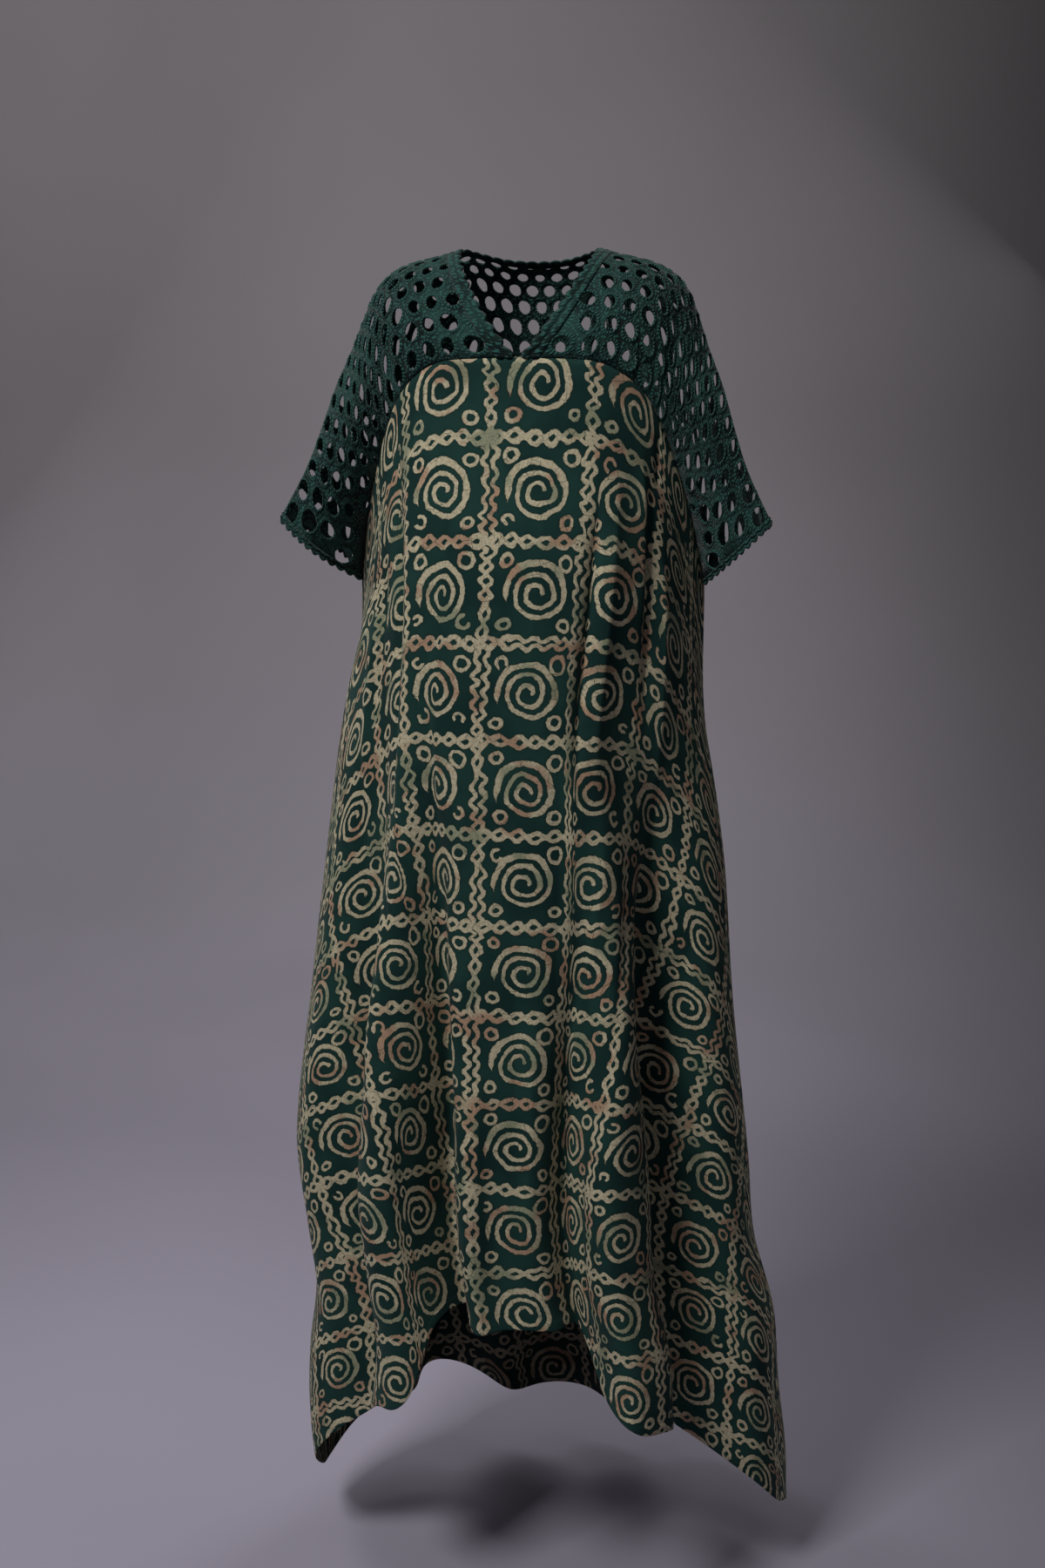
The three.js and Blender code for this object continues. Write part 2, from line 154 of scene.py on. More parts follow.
# Painted shade: the wrong side's colour is darkened to this share, as if it lay in the shade inside the
# dress.
WRONG_SIDE_PAINTED_SHADE = 0.42
COTTON_RELIEF = (0.0009, 0.5)
CROCHET_STITCH = 0.0040
CROCHET_LOOP = (0.10, 0.62)
CROCHET_CORD = (1.22, 1.48)  # where the wrapped stitches end, in half sizes of a hole
CROCHET_GROOVE = (1.30, 1.46, 1.66, 0.25)
STITCH_SHARE = 0.8
THREAD_TONES = {"lace": (0.30, 0.80), "edging": (0.35, 0.90)}  # heights with the painted shade and the full colour
STRANDS = (600, 2, 4.4)
STRAND_SHARE = 0.4
LACE_ROUGHNESS = (0.72, 0.2)
LACE_RELIEF = (0.0014, 0.9)
EDGING_RELIEF = (0.0012, 0.9)
CORD_STITCH = 0.0042
CORD_SLANT = 0.0070
CORD_WIDTH = 0.0050
CORD_SHARES = (0.15, 0.75, 0.1)
CORD_SHADOW = (0.0, 0.7)
CORD_NOISE = (80, 1, 1.7)
CORD_SWAY = 4
WRAPS_ROUND_HOLE = 16
WRAP_NOISE = (90, 1, 2.2)
WRAP_SWAY = 5
SPIRAL = {"radius": 0.038, "pitch": 0.0126, "turns": 2.62, "start": 3.49, "drop": 0.0015, "tall": 1.05,
          "outer_half": 0.0037, "inner_half": 0.0026, "thins": (0.35, 0.95), "tapers": (0.05, 0.08),
          "whole_turns": 2.0, "stray": 0.005}
BEYOND = 0.05  # a distance past every line
LEVEL_BRAID = {"wave": 0.0205, "swing": 0.0028, "near": 0.0037, "far": 0.0052, "half": 0.0029,
               "drift": 5, "plaited": (0.34, 0.38)}
UPRIGHT_BRAID = {"wave": 0.0186, "swing": 0.0027, "near": 0.0034, "far": 0.0056, "half": 0.0025,
                 "drift": 7, "plaited": (0.47, 0.53)}
BRAID_PHASES = (0.6, 2.7)
LOOSE_BRAID = (8, 0, 1.3)
RING = {"across": 0.0350, "up": 0.0365, "radius": 0.0066, "larger": 0.0022, "half": 0.0022, "stray": 0.006,
        "shape": (0.85, 1.15, 0.3), "sizes": 0.0016, "opening": (0.72, 0.9), "broken": 0.62, "gap": 0.004,
        "seeds": (11, 5)}

# Soft patches: scale, detail and offset of their noise, its two stops and the shares there.
PATCHES = {
    "cracked": (45, 1, 4.0, 0.50, 0.62, 0.0, 1.0),
    "specks": (420, 1, 9.0, 0.60, 0.68, 0.0, 1.0),
    "peach": (21, 1, 12.0, 0.54, 0.68, 0.0, 0.8),
    "sage": (17, 1, 17.0, 0.58, 0.70, 0.0, 0.75),
    "wax_shade": (240, 2, 21.0, 0.35, 0.70, 0.0, 0.35),
    "ground_deep": (11, 3, 5.0, 0.36, 0.66, 0.0, 1.0),
    "lace_worn": (14, 2, 9.0, 0.40, 0.70, 0.0, 0.45),
    "edging_worn": (18, 2, 9.0, 0.40, 0.70, 0.0, 0.4),
}

# ---- stage, m

EYE_HEIGHT = -0.145
AIM_ASIDE = math.radians(0.25)
SENSOR = 36.0
FOCAL_PIXELS = 2292
PICTURE_HEIGHT = 1800
SWEEP = {"front": 6.0, "back": 3.6, "radius": 1.4, "height": 5.0, "half_width": 7.0, "steps": 13}
# Painted light on the paper: brighter on the floor in front, darker up the wall and towards both sides, and
# bluer low down.
PAPER_ALONG = ((6.0, 7.4, 1.5, 1.0), (9.8, 11.8, 1.0, 0.85))  # places along the paper and its painted brightness there
PAPER_ACROSS = ((-0.2, 1.3, 1.0, 0.37), (-1.8, -0.6, 0.8, 1.0))
PAPER_BLUE = (6.5, 11.8, 1.12, 0.95)
PAPER_CLOUDS = (1.4, 2, 0.5)
PAPER_CLOUD_TONES = (0.94, 0.12)
WORLD_LIGHT = 0.075
WORLD_COLOUR = (0.9, 0.92, 1.0, 1.0)
LIGHTS = (  # name, place, aim, power in watts and size
    ("key", (-1.25, -2.0, 2.1), (0.0, 0.0, -0.1), 80.0, 1.0),
    ("fill", (1.8, -2.8, 0.5), (0.0, 0.0, -0.3), 0.3, 1.8),
    ("top", (0.2, 0.3, 2.2), (0.0, 0.0, -0.4), 4.0, 1.4),
    ("back_left", (1.5, 2.9, 0.9), (0.0, 0.0, -0.7), 32.0, 1.6),
    ("back_right", (-2.5, 2.5, 0.3), (0.1, 0.3, -1.4), 16.0, 1.6),
    ("backdrop", (-2.3, 1.6, 1.4), (-0.1, 3.6, 0.1), 36.0, 1.6),
)


class Table:
    """Rows with named columns, read as a smooth curve through them."""

    def __init__(self, columns, *rows):
        ordered = sorted(rows)
        self.columns = {name: np.array([row[i] for row in ordered], float) for i, name in enumerate(columns)}
        self.key = self.columns[columns[0]]

    def read(self, column, value):
        keys, values = self.key, self.columns[column]
        at = np.clip(value, keys[0], keys[-1])
        i = np.clip(np.searchsorted(keys, at, side="right") - 1, 0, len(keys) - 2)
        before = np.maximum(np.arange(len(keys)) - 1, 0)
        after = np.minimum(np.arange(len(keys)) + 1, len(keys) - 1)
        slopes = (values[after] - values[before]) / (keys[after] - keys[before])
        span = keys[i + 1] - keys[i]
        t = (at - keys[i]) / span
        t2, t3 = t * t, t * t * t
        return ((2 * t3 - 3 * t2 + 1) * values[i] + (t3 - 2 * t2 + t) * slopes[i] * span
                + (3 * t2 - 2 * t3) * values[i + 1] + (t3 - t2) * slopes[i + 1] * span)


BODY_SECTIONS = Table(
    ("z", "right", "left", "front", "back"),
    (-120, -196, 196, 116, 106),
    (-250, -204, 202, 134, 112),
    (-390, -211, 205, 142, 118),
    (-520, -231, 210, 148, 124),
    (-720, -258, 238, 160, 142),
    (-900, -281, 252, 176, 162),
    (-1100, -305, 275, 198, 188),
    (-1200, -294, 284, 210, 200),
    (-1300, -283, 311, 222, 210),
    (-1400, -294, 320, 232, 216),
    (-1500, -294, 332, 238, 220),
    (-1600, -268, 334, 242, 222),
)

YOKE_SEAM = Table(
    ("at", "front_x", "front_depth", "front_z", "back_x", "back_depth", "back_z"),
    (0.00, 0, 112, -122, 0, 104, -165),
    (0.20, 55, 111, -123, 52, 103, -166),
    (0.35, 92, 104, -127, 88, 98, -170),
    (0.48, 122, 92, -143, 118, 88, -181),
    (0.60, 147, 76, -171, 143, 73, -204),
    (0.72, 166, 58, -214, 164, 55, -241),
    (0.84, 184, 38, -270, 183, 35, -290),
    (0.93, 198, 19, -330, 197, 17, -340),
    (1.00, 208, 0, -388, 208, 0, -388),
)

HEM = {
    "front": Table(
        ("across", "z"),
        (-1.00, -1568), (-0.90, -1515), (-0.78, -1438), (-0.66, -1390), (-0.52, -1362),
        (-0.42, -1346), (-0.36, -1266), (-0.27, -1254), (-0.10, -1250), (0.00, -1248),
        (0.18, -1250), (0.29, -1262), (0.35, -1330), (0.44, -1362), (0.60, -1382),
        (0.78, -1436), (0.92, -1530), (1.00, -1566),
    ),
    "back": Table(
        ("across", "z"),
        (-1.00, -1568), (-0.80, -1518), (-0.60, -1510), (-0.20, -1548), (0.20, -1552),
        (0.62, -1536), (0.82, -1542), (1.00, -1566),
    ),
}

# Hanging folds: from, to, start, full, out, width.
FOLDS = {
    "front": (
        (-0.48, -0.27, -460, -1000, -76, 29),
        (-0.34, -0.13, -600, -1100, 24, 22),
        (-0.60, -0.46, -440, -1000, 26, 44),
        (-0.74, -0.72, -380, -900, -48, 27),
        (-0.88, -0.87, -520, -1100, 14, 26),
        (0.42, 0.30, -600, -1100, -48, 23),
        (0.52, 0.42, -600, -1100, 30, 32),
        (0.79, 0.73, -440, -940, -74, 32),
        (0.64, 0.60, -480, -1000, 16, 34),
        (0.90, 0.89, -560, -1100, 20, 26),
    ),
    "back": (
        (-0.70, -0.74, -440, -1020, -46, 32),
        (-0.48, -0.52, -480, -1080, 24, 42),
        (-0.26, -0.28, -500, -1080, -34, 34),
        (0.02, -0.02, -600, -1120, 14, 46),
        (0.24, 0.22, -460, -1020, -30, 32),
        (0.44, 0.46, -520, -1080, 24, 40),
        (0.70, 0.72, -420, -1000, -52, 32),
    ),
}

# Short creases that fade out again: across, start, full, end, out, width.
CREASES = {
    "front": (
        (-0.55, -150, -330, -760, 8, 26),
        (0.50, -140, -300, -620, 7, 28),
        (0.60, -330, -640, -980, -15, 26),
        (-0.72, -240, -430, -760, -9, 26),
    ),
    "back": (
        (-0.52, -200, -380, -760, 8, 30),
        (0.54, -200, -360, -700, 8, 30),
        (0.05, -240, -460, -800, -8, 34),
    ),
}

SHOULDER_LINE = Table(
    ("at", "x", "y", "z", "front", "back", "over", "fill_front", "fill_back"),
    (0.00, 78, 0, 0, 0.00, 0.30, 1, 0, 0),
    (0.09, 112, 2, -7, 0.24, 0.38, 1, 0, 0),
    (0.18, 146, 1, -16, 0.40, 0.47, 1, 2, 2),
    (0.24, 168, -2, -28, 0.50, 0.54, 0.9, 5, 6),
    (0.30, 184, -7, -47, 0.58, 0.60, 0.7, 10, 14),
    (0.38, 197, -15, -78, 0.65, 0.66, 0.45, 17, 26),
    (0.47, 209, -24, -112, 0.71, 0.72, 0.25, 23, 36),
    (0.59, 226, -37, -154, 0.78, 0.79, 0.1, 28, 46),
    (0.71, 241, -50, -202, 0.85, 0.86, 0, 32, 52),
    (0.84, 258, -63, -250, 0.93, 0.93, 0, 35, 56),
    (1.00, 288, -80, -310, 1.00, 1.00, 0, 38, 60),
)

BACK_NECK = Table(
    ("at", "x", "y", "z", "back"),
    (-0.22, 0, 52, -12, 0.00),
    (-0.14, 34, 47, -10, 0.10),
    (-0.06, 63, 27, -4, 0.21),
    (0.00, 78, 0, 0, 0.30),
)


def smoothstep(start, end, value):
    t = np.clip((value - start) / (end - start), 0, 1)
    return t * t * (3 - 2 * t)


def lerp(a, b, t):
    return a + (b - a) * t


def points(x, y, z):
    return np.stack(np.broadcast_arrays(x, y, z), axis=-1)


def seam_point(side, hand, at):
    """A point of the seam between lace and cotton; at runs from 0 in the middle to 1 at the underarm."""
    x, depth, z = (YOKE_SEAM.read(f"{side}_{name}", at) for name in ("x", "depth", "z"))
    return hand * x, FACING[side] * (depth + SEAM_GAP / 2), z


def fold_depth(side, across, half_width, z):
    """How far the folds and creases move the cloth outwards."""
    out = np.zeros_like(z)
    for start_across, end_across, start, full, depth, width in FOLDS[side]:
        down = np.clip((start - z) / (start - full), 0, 1)
        distance = (across - lerp(start_across, end_across, down)) * half_width / width
        out += depth * smoothstep(0, 1, down) * np.exp(-distance ** 2)
    for place, start, full, end, depth, width in CREASES[side]:
        rise = smoothstep(start, full, z)
        fade = 1 - smoothstep(full, end, z)
        distance = (across - place) * half_width / width
        out += depth * np.minimum(rise, fade) * np.exp(-distance ** 2)
    return out


def panel_points(side, turn, down):
    """Points of the front or back panel, for turn from -1 to 1 round the side and down from seam to hem."""
    turn, down = np.broadcast_arrays(np.clip(turn, -1, 1), np.clip(down, 0, 1))
    angle = turn * math.pi / 2
    across = np.sin(angle)
    top_x, top_y, top_z = seam_point(side, np.where(turn < 0, -1.0, 1.0), np.abs(turn))
    z = lerp(top_z, HEM[side].read("z", across), down)
    right, left = BODY_SECTIONS.read("right", z), BODY_SECTIONS.read("left", z)
    depth = BODY_SECTIONS.read(side, z)
    half_width = (left - right) / 2

    def section(t):
        s = np.sin(t)
        bow = np.clip(1 - np.abs(s) ** FRONT_FLATNESS, 0, 1) ** SIDE_SHARPNESS
        return (left + right) / 2 + half_width * s, FACING[side] * (depth * bow + SEAM_GAP / 2)

    ring_x, ring_y = section(angle)
    ahead = section(np.minimum(angle + TANGENT_STEP, math.pi / 2))
    behind = section(np.maximum(angle - TANGENT_STEP, -math.pi / 2))
    tangent_x, tangent_y = ahead[0] - behind[0], ahead[1] - behind[1]
    length = np.hypot(tangent_x, tangent_y)
    leave = smoothstep(0, SEAM_BLEND, top_z - z)
    quiet = 1 - np.abs(turn) ** BIG_FOLD_QUIET
    out = fold_depth(side, across, half_width, z) * quiet * leave / length
    x = lerp(top_x, ring_x, leave) - FACING[side] * tangent_y * out
    y = lerp(top_y, ring_y, leave) + FACING[side] * tangent_x * out
    return points(x, y, z)


def lace_points(side, hand, along, over):
    """Points of the lace, from the neck to the sleeve's end and from the shoulder line to the yoke seam."""
    along, over = np.broadcast_arrays(np.asarray(along, float), np.asarray(over, float))
    neck = (along < 0) & (side == "back")

    def column(name, at_neck=None):
        here = SHOULDER_LINE.read(name, along)
        return np.where(neck, BACK_NECK.read(name, along) if at_neck is None else at_neck, here)

    meets = column(side) if side == "back" else SHOULDER_LINE.read(side, along)
    low_x, low_y, low_z = seam_point(side, hand, np.clip(meets, 0, 1))
    top_x, top_y, top_z = hand * column("x"), column("y") + FACING[side] * SEAM_GAP / 2, column("z")
    rounded = np.clip(column("over", 1.0), 0, 1)
    fill = np.maximum(column("fill_" + side, 0.0), 0)
    quarter = over * math.pi / 2
    inwards = lerp(over, np.maximum(over, 0) ** SHOULDER_TURN, rounded) if side == "front" else over
    x = lerp(top_x, low_x, inwards) + (hand * SEAM_GAP if side == "front" else 0)
    y = lerp(top_y, low_y, lerp(over, np.sin(quarter), rounded))
    y = y + FACING[side] * fill * np.sin(over * math.pi)
    z = lerp(top_z, low_z, lerp(over, 1 - np.cos(quarter), rounded))
    return points(x, y, z)


def lace_piece_points(side, hand, along, over):
    """Points of a lace piece; on the back, along runs from the wearer's right cuff to the left one."""
    if side == "front":
        return lace_points(side, hand, along, over * SEAM_END)
    hand = np.where(np.asarray(along) < 0, -1.0, 1.0)
    return lace_points(side, hand, np.abs(along) - BACK_HALF, over * SEAM_END)


# ---- creases, mm on the flat cloth

# Soft troughs and ridges: start and end (across from the middle, down from the yoke seam), sideways bow,
# width and height; a negative height is a trough.
CREASE_COLUMNS = ("start_u", "start_v", "end_u", "end_v", "bow", "width", "out")
PANEL_CREASES = {
    "front": (
        (-166, 10, -170, 560, 3, 9, -10.5), (-138, 20, -141, 430, 3, 11, 3.5),
        (-176, 90, -190, 330, -6, 12, 4.2), (-205, 150, -232, 420, 6, 13, -7.2),
        (-228, 200, -262, 560, 8, 14, 5.6), (-122, 330, -96, 700, -5, 16, -5.1),
        (-182, 420, -206, 820, 8, 15, -6.7), (-70, 560, -42, 960, 6, 14, 4.2),
        (-30, 60, -36, 300, 3, 20, -2.2), (30, 90, 22, 420, -4, 22, 2.6),
        (100, 120, 106, 520, 3, 9, -12.0), (122, 90, 130, 520, 3, 10, 4.5),
        (152, 60, 176, 330, -6, 11, 5.1), (176, 70, 202, 420, 5, 11, -11.5),
        (204, 150, 232, 500, -5, 13, 5.1), (66, 420, 74, 860, 4, 16, -4.2),
        (140, 480, 128, 900, -6, 13, 5.4), (186, 520, 196, 930, 5, 14, -6.1),
        (10, 620, 26, 1060, -5, 15, -3.8), (48, 700, 44, 1080, 4, 11, 4.2),
        (-14, 780, -22, 1100, 3, 10, 3.5), (238, 420, 262, 760, 6, 14, -6.4),
        (-262, 380, -300, 700, -6, 16, -7.0), (-236, 700, -262, 1120, 8, 15, 5.1),
        (-330, 620, -352, 1020, 6, 18, -6.4), (286, 760, 318, 1140, -8, 17, 5.8),
        (330, 560, 352, 960, 6, 18, -6.7), (-112, 900, -128, 1200, 6, 12, -4.5),
        (156, 900, 168, 1180, -5, 12, -5.1), (-198, 8, -184, 96, 5, 8, -4.8),
        (196, 10, 182, 104, -5, 8, -5.4), (-60, 0, -64, 70, 2, 8, -1.9),
        (44, 0, 48, 84, -2, 9, -2.1), (352, 820, 318, 850, 5, 10, -5.1),
        (350, 862, 306, 880, -4, 9, 4.2), (346, 790, 322, 806, 3, 8, 3.5),
    ),
    "back": (
        (-140, 12, -150, 470, 5, 11, -6.4), (-118, 40, -112, 350, -4, 14, 3.8),
        (-186, 110, -214, 430, 6, 13, -7.4), (-232, 160, -266, 560, -6, 14, 5.8),
        (-60, 20, -48, 380, 4, 16, -3.8), (8, 40, 2, 520, -5, 18, 3.8),
        (36, 90, 44, 430, 4, 12, -4.5), (92, 16, 104, 500, -5, 12, -6.1),
        (120, 60, 128, 390, 4, 12, 4.2), (166, 90, 196, 420, 6, 12, -7.7),
        (206, 140, 238, 520, -6, 14, 5.4), (-92, 480, -70, 920, 6, 15, -5.1),
        (-20, 560, -32, 1100, 6, 15, 4.8), (66, 600, 84, 1150, -6, 14, -4.8),
        (150, 520, 142, 980, 6, 14, 5.1), (214, 560, 228, 1010, -6, 15, -6.1),
        (-170, 620, -190, 1120, 7, 15, 5.4), (-252, 520, -282, 960, -7, 16, -6.7),
        (-330, 640, -356, 1120, 6, 18, 5.1), (300, 640, 330, 1160, 7, 17, -6.1),
        (0, 900, 12, 1300, 5, 12, -4.2), (-122, 960, -136, 1320, -5, 12, 4.5),
        (124, 1000, 112, 1330, 5, 12, -4.5), (-192, 6, -178, 100, 5, 8, -5.1),
        (190, 8, 176, 92, -5, 8, -4.5),
    ),
}
LACE_CREASES = {
    ("front", 1): (
        (120, 20, 148, 150, 6, 8, -2.6), (205, 10, 236, 140, -6, 9, 2.4), (300, 30, 322, 150, 6, 9, -2.4),
    ),
    ("front", -1): (
        (132, 10, 120, 150, 6, 9, -2.2), (224, 30, 250, 150, 6, 9, 2.2), (316, 20, 300, 140, 5, 9, -2.0),
    ),
    ("back", 1): (
        (190, 30, 176, 170, 6, 10, -2.6), (-190, 20, -172, 160, -6, 10, -2.4),
        (330, 20, 312, 170, 6, 10, 2.4), (-332, 20, -318, 150, 6, 10, 2.6), (30, 30, 24, 150, 4, 12, -1.6),
    ),
}

# Cloth that folds hide: place across, hidden width, start and end down from the yoke seam, all in mm.
TUCKS = {
    "front": ((-169, 30, -60, 150, 420, 800), (99, 14, 60, 240, 560, 760)),
    "back": ((-150, 16, 0, 160, 420, 700), (128, 12, 40, 200, 420, 700)),
}
TUCK_WIDTH = 4.0


def hidden_cloth(tucks, u, v):
    """Cloth width that lies hidden in folds between the middle and each place."""
    hidden = np.zeros_like(u)
    for place, width, start, full, fade, end in tucks:
        share = smoothstep(start, full, v) * (1 - smoothstep(fade, end, v))
        away = np.sign(place) * (u - place)
        hidden += np.sign(place) * width * share * smoothstep(-TUCK_WIDTH, TUCK_WIDTH, away)
    return hidden


def crease_depth(creases, u, v):
    """How far the listed creases move the cloth outwards; each fades at both ends."""
    out = np.zeros_like(u)
    for row in creases:
        crease = dict(zip(CREASE_COLUMNS, row))
        run_u, run_v = crease["end_u"] - crease["start_u"], crease["end_v"] - crease["start_v"]
        off_u, off_v = u - crease["start_u"], v - crease["start_v"]
        length = math.hypot(run_u, run_v)
        along = (off_u * run_u + off_v * run_v) / length ** 2
        aside = (off_u * run_v - off_v * run_u) / length + crease["bow"] * 4 * along * (1 - along)
        fade = smoothstep(*CREASE_FADES[0], along) * (1 - smoothstep(*CREASE_FADES[1], along))
        out += crease["out"] * fade * np.exp(-np.abs(aside / crease["width"]) ** CREASE_SHARPNESS)
    return out


# ---- meshes of cloth


def surface_normals(outer, faces):
    """Unit normals at the points of a surface, from the faces round each."""
    first, second, third, fourth = (0, 1, 2, 3) if faces.shape[1] == 4 else (0, 0, 1, 2)
    face_normals = np.cross(outer[faces[:, third]] - outer[faces[:, first]],
                            outer[faces[:, fourth]] - outer[faces[:, second]])
    normals = np.zeros_like(outer)
    for corner in faces.T:
        for axis in range(3):
            normals[:, axis] += np.bincount(corner, face_normals[:, axis], len(outer))
    return normals / np.maximum(np.linalg.norm(normals, axis=1, keepdims=True), 1e-9)


def open_edges(faces):
    """Start and end points of the edges that belong to one face only."""
    starts, ends = faces.ravel(), np.roll(faces, -1, axis=1).ravel()
    count = int(faces.max()) + 1
    alone = ~np.isin(starts * count + ends, ends * count + starts)
    return starts[alone], ends[alone]


def arc_length(surface, axis):
    """Distance over a grid of points along one axis, from its first row or column."""
    steps = np.linalg.norm(np.diff(surface, axis=axis), axis=-1)
    start = np.zeros_like(np.take(steps, [0], axis=axis))
    return np.concatenate([start, np.cumsum(steps, axis=axis)], axis=axis)


def grid_faces(rows, columns, flip=False):
    """Quads between the points of a grid that is stored row by row."""
    column, row = np.meshgrid(np.arange(columns - 1), np.arange(rows - 1))
    first = (row * columns + column).ravel()
    faces = np.stack([first, first + 1, first + columns + 1, first + columns], axis=1)
    return faces[:, ::-1] if flip else faces


def make_cloth(name, outer, faces, uv_maps, wall, outside, inside):
    """Make a piece of cloth from its outer side, in mm, with UV maps such as its flat pattern in metres."""
    count = len(outer)
    inner = outer - surface_normals(outer, faces) * wall
    start, end = open_edges(faces)
    rim = np.stack([end, start, start + count, end + count], axis=1)
    mesh = bpy.data.meshes.new(name)
    polygons = faces.tolist() + (faces[:, ::-1] + count).tolist() + rim.tolist()
    mesh.from_pydata((np.concatenate([outer, inner]) * MM).tolist(), [], polygons)
    corners = np.empty(len(mesh.loops), dtype=np.int32)
    mesh.loops.foreach_get("vertex_index", corners)
    for uv_name, uv in uv_maps.items():
        mesh.uv_layers.new(name=uv_name).data.foreach_set("uv", uv[corners % count].ravel())
    mesh.polygons.foreach_set("material_index", [0] * len(faces) + [1] * len(faces) + [0] * len(rim))
    mesh.polygons.foreach_set("use_smooth", [True] * len(polygons))
    mesh.materials.append(outside)
    mesh.materials.append(inside)
    mesh.update()
    piece = bpy.data.objects.new(name, mesh)
    bpy.context.scene.collection.objects.link(piece)
    return piece


def settle(piece, slot, flat, area, *nodes):
    """Hang a piece of cloth from the root and hide the solids in its place; what it stands for and the size
    of its cut are not used.
    """
    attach(piece, "root")
    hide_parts(*nodes)


# ---- cotton panels


def make_panel(side, sizes, outside, inside):
    """A printed panel: the worn surface with its creases and a turned hem."""
    turn = np.linspace(-1, 1, PANEL_COLUMNS)
    body = np.linspace(0, 1, PANEL_ROWS)
    hem = 1 - HEM_DEPTH / PANEL_DROP * np.linspace(0, HEM_ROWS_REACH, HEM_ROWS)
    down = np.unique(np.concatenate([body, hem]))
    surface = panel_points(side, turn[None, :], down[:, None])
    rows, columns = surface.shape[:2]
    u = arc_length(surface, 1)
    u = u - u[:, [columns // 2]]
    v = arc_length(surface, 0)
    faces = grid_faces(rows, columns, flip=FACING[side] < 0)
    outer = surface.reshape(-1, 3)
    from_hem = (v[-1:] - v).ravel()
    quiet = 1 - np.abs(np.broadcast_to(turn, (rows, columns)).ravel()) ** CREASE_QUIET
    relief = crease_depth(PANEL_CREASES[side], u.ravel(), v.ravel()) * quiet
    relief = relief * smoothstep(0, SEAM_QUIET, v.ravel())
    relief += HEM_RISE * (1 - smoothstep(HEM_DEPTH * HEM_FOLD_FROM, HEM_DEPTH, from_hem))
    outer = outer + surface_normals(outer, faces) * relief[:, None]
    u = u + hidden_cloth(TUCKS[side], u, v)
    uv_maps = {"flat": np.stack([u.ravel(), v.ravel()], axis=1) * MM + np.array(PRINT_SHIFT[side])}
    return make_cloth(f"{side}_panel_cloth", outer, faces, uv_maps, sizes.cotton_wall / MM, outside, inside)


# ---- lace


class LaceCut:
    """The flat pattern of a lace piece: arc lengths along it and down it, the rows and columns of its net,
    and the way back to the worn form."""

    def __init__(self, side, hand, pitch):
        self.side, self.hand, self.pitch = side, hand, pitch
        self.widening = LACE_WIDENING[side]
        self.reach = 1.0 if side == "front" else 1.0 + BACK_HALF
        along, over = np.linspace(0, self.reach, LACE_SAMPLES[0]), np.linspace(0, 1, LACE_SAMPLES[1])
        surface = lace_piece_points(side, hand, along[None, :], over[:, None])
        self.along, self.over = along, over
        self.down = arc_length(surface, 0)[-1]
        self.across = arc_length(surface, 1)[:, -1] / self.reach

    def flat(self, along, over):
        s = along * np.interp(over, self.over, self.across)
        return s, over * np.interp(np.abs(along), self.along, self.down)

    def worn(self, s, t):
        """Shares along and over for flat places, found by a few rounds of correction."""
        along = s / self.across.mean()
        for _ in range(LACE_ROUNDS):
            over = t / np.interp(np.abs(along), self.along, self.down)
            along = s / np.interp(over, self.over, self.across)
        return along, over

    def points(self, s, t):
        return lace_piece_points(self.side, self.hand, *self.worn(s, t))

    def rows(self, s):
        return lerp(*LACE_ROWS[self.side], smoothstep(*LACE_ROWS_CHANGE, np.abs(s) / self.across.mean()))

    def from_net(self, column, row):
        """Flat places for columns and rows of the net, whose columns widen a little towards the cuff."""
        s = self.pitch * column * (1 + self.widening * np.abs(column))
        over = (row + FIRST_LACE_ROW) / self.rows(s)
        return s, over * np.interp(np.abs(s / np.interp(over, self.over, self.across)), self.along, self.down)

    def net(self, s, t):
        reach = np.sqrt(1 + 4 * self.widening * np.abs(s) / self.pitch) - 1
        return np.sign(s) * reach / (2 * self.widening), self.worn(s, t)[1] * self.rows(s) - FIRST_LACE_ROW


def front_neck_width(over):
    return lerp(AT_SHOULDER, AT_V_POINT, over)


def back_neck_width(along):
    return lerp(*BACK_NECK_WIDTH, np.clip(-along / BACK_HALF, 0, 1))


def lace_outline(side):
    """Corners and edges of a lace piece as shares along and over, in order round it."""
    edge = np.linspace(0, 1, LACE_EDGE_STEPS)
    tuck = EDGING_LAP / LACE_RUN

    def run(start, end, steps=LACE_EDGE_STEPS):
        return lerp(np.array(start), np.array(end), np.linspace(0, 1, steps)[:, None])

    if side == "front":
        cuff, neck = 1 - CUFF + tuck, np.stack([front_neck_width(edge) - tuck, edge], axis=1)
        sides = (neck, run((AT_V_POINT - tuck, 1), (cuff, 1)), run((cuff, 1), (cuff, 0)),
                 run((cuff, 0), (AT_SHOULDER - tuck, 0)))
    else:
        cuff, corner = 1 + BACK_HALF - CUFF + tuck, BACK_HALF + AT_SHOULDER - tuck
        along = lerp(-corner, corner, edge)
        neck = np.stack([along, back_neck_width(np.abs(along) - BACK_HALF) - BACK_NECK_TUCK], axis=1)
        sides = (run((-cuff, 0), (-corner, 0)), neck, run((corner, 0), (cuff, 0)), run((cuff, 0), (cuff, 1)),
                 run((cuff, 1), (-cuff, 1), 2 * LACE_EDGE_STEPS), run((-cuff, 1), (-cuff, 0)))
    return np.concatenate([line[:-1] if np.allclose(line[-1], after[0]) else line
                           for line, after in zip(sides, sides[1:] + sides[:1])])


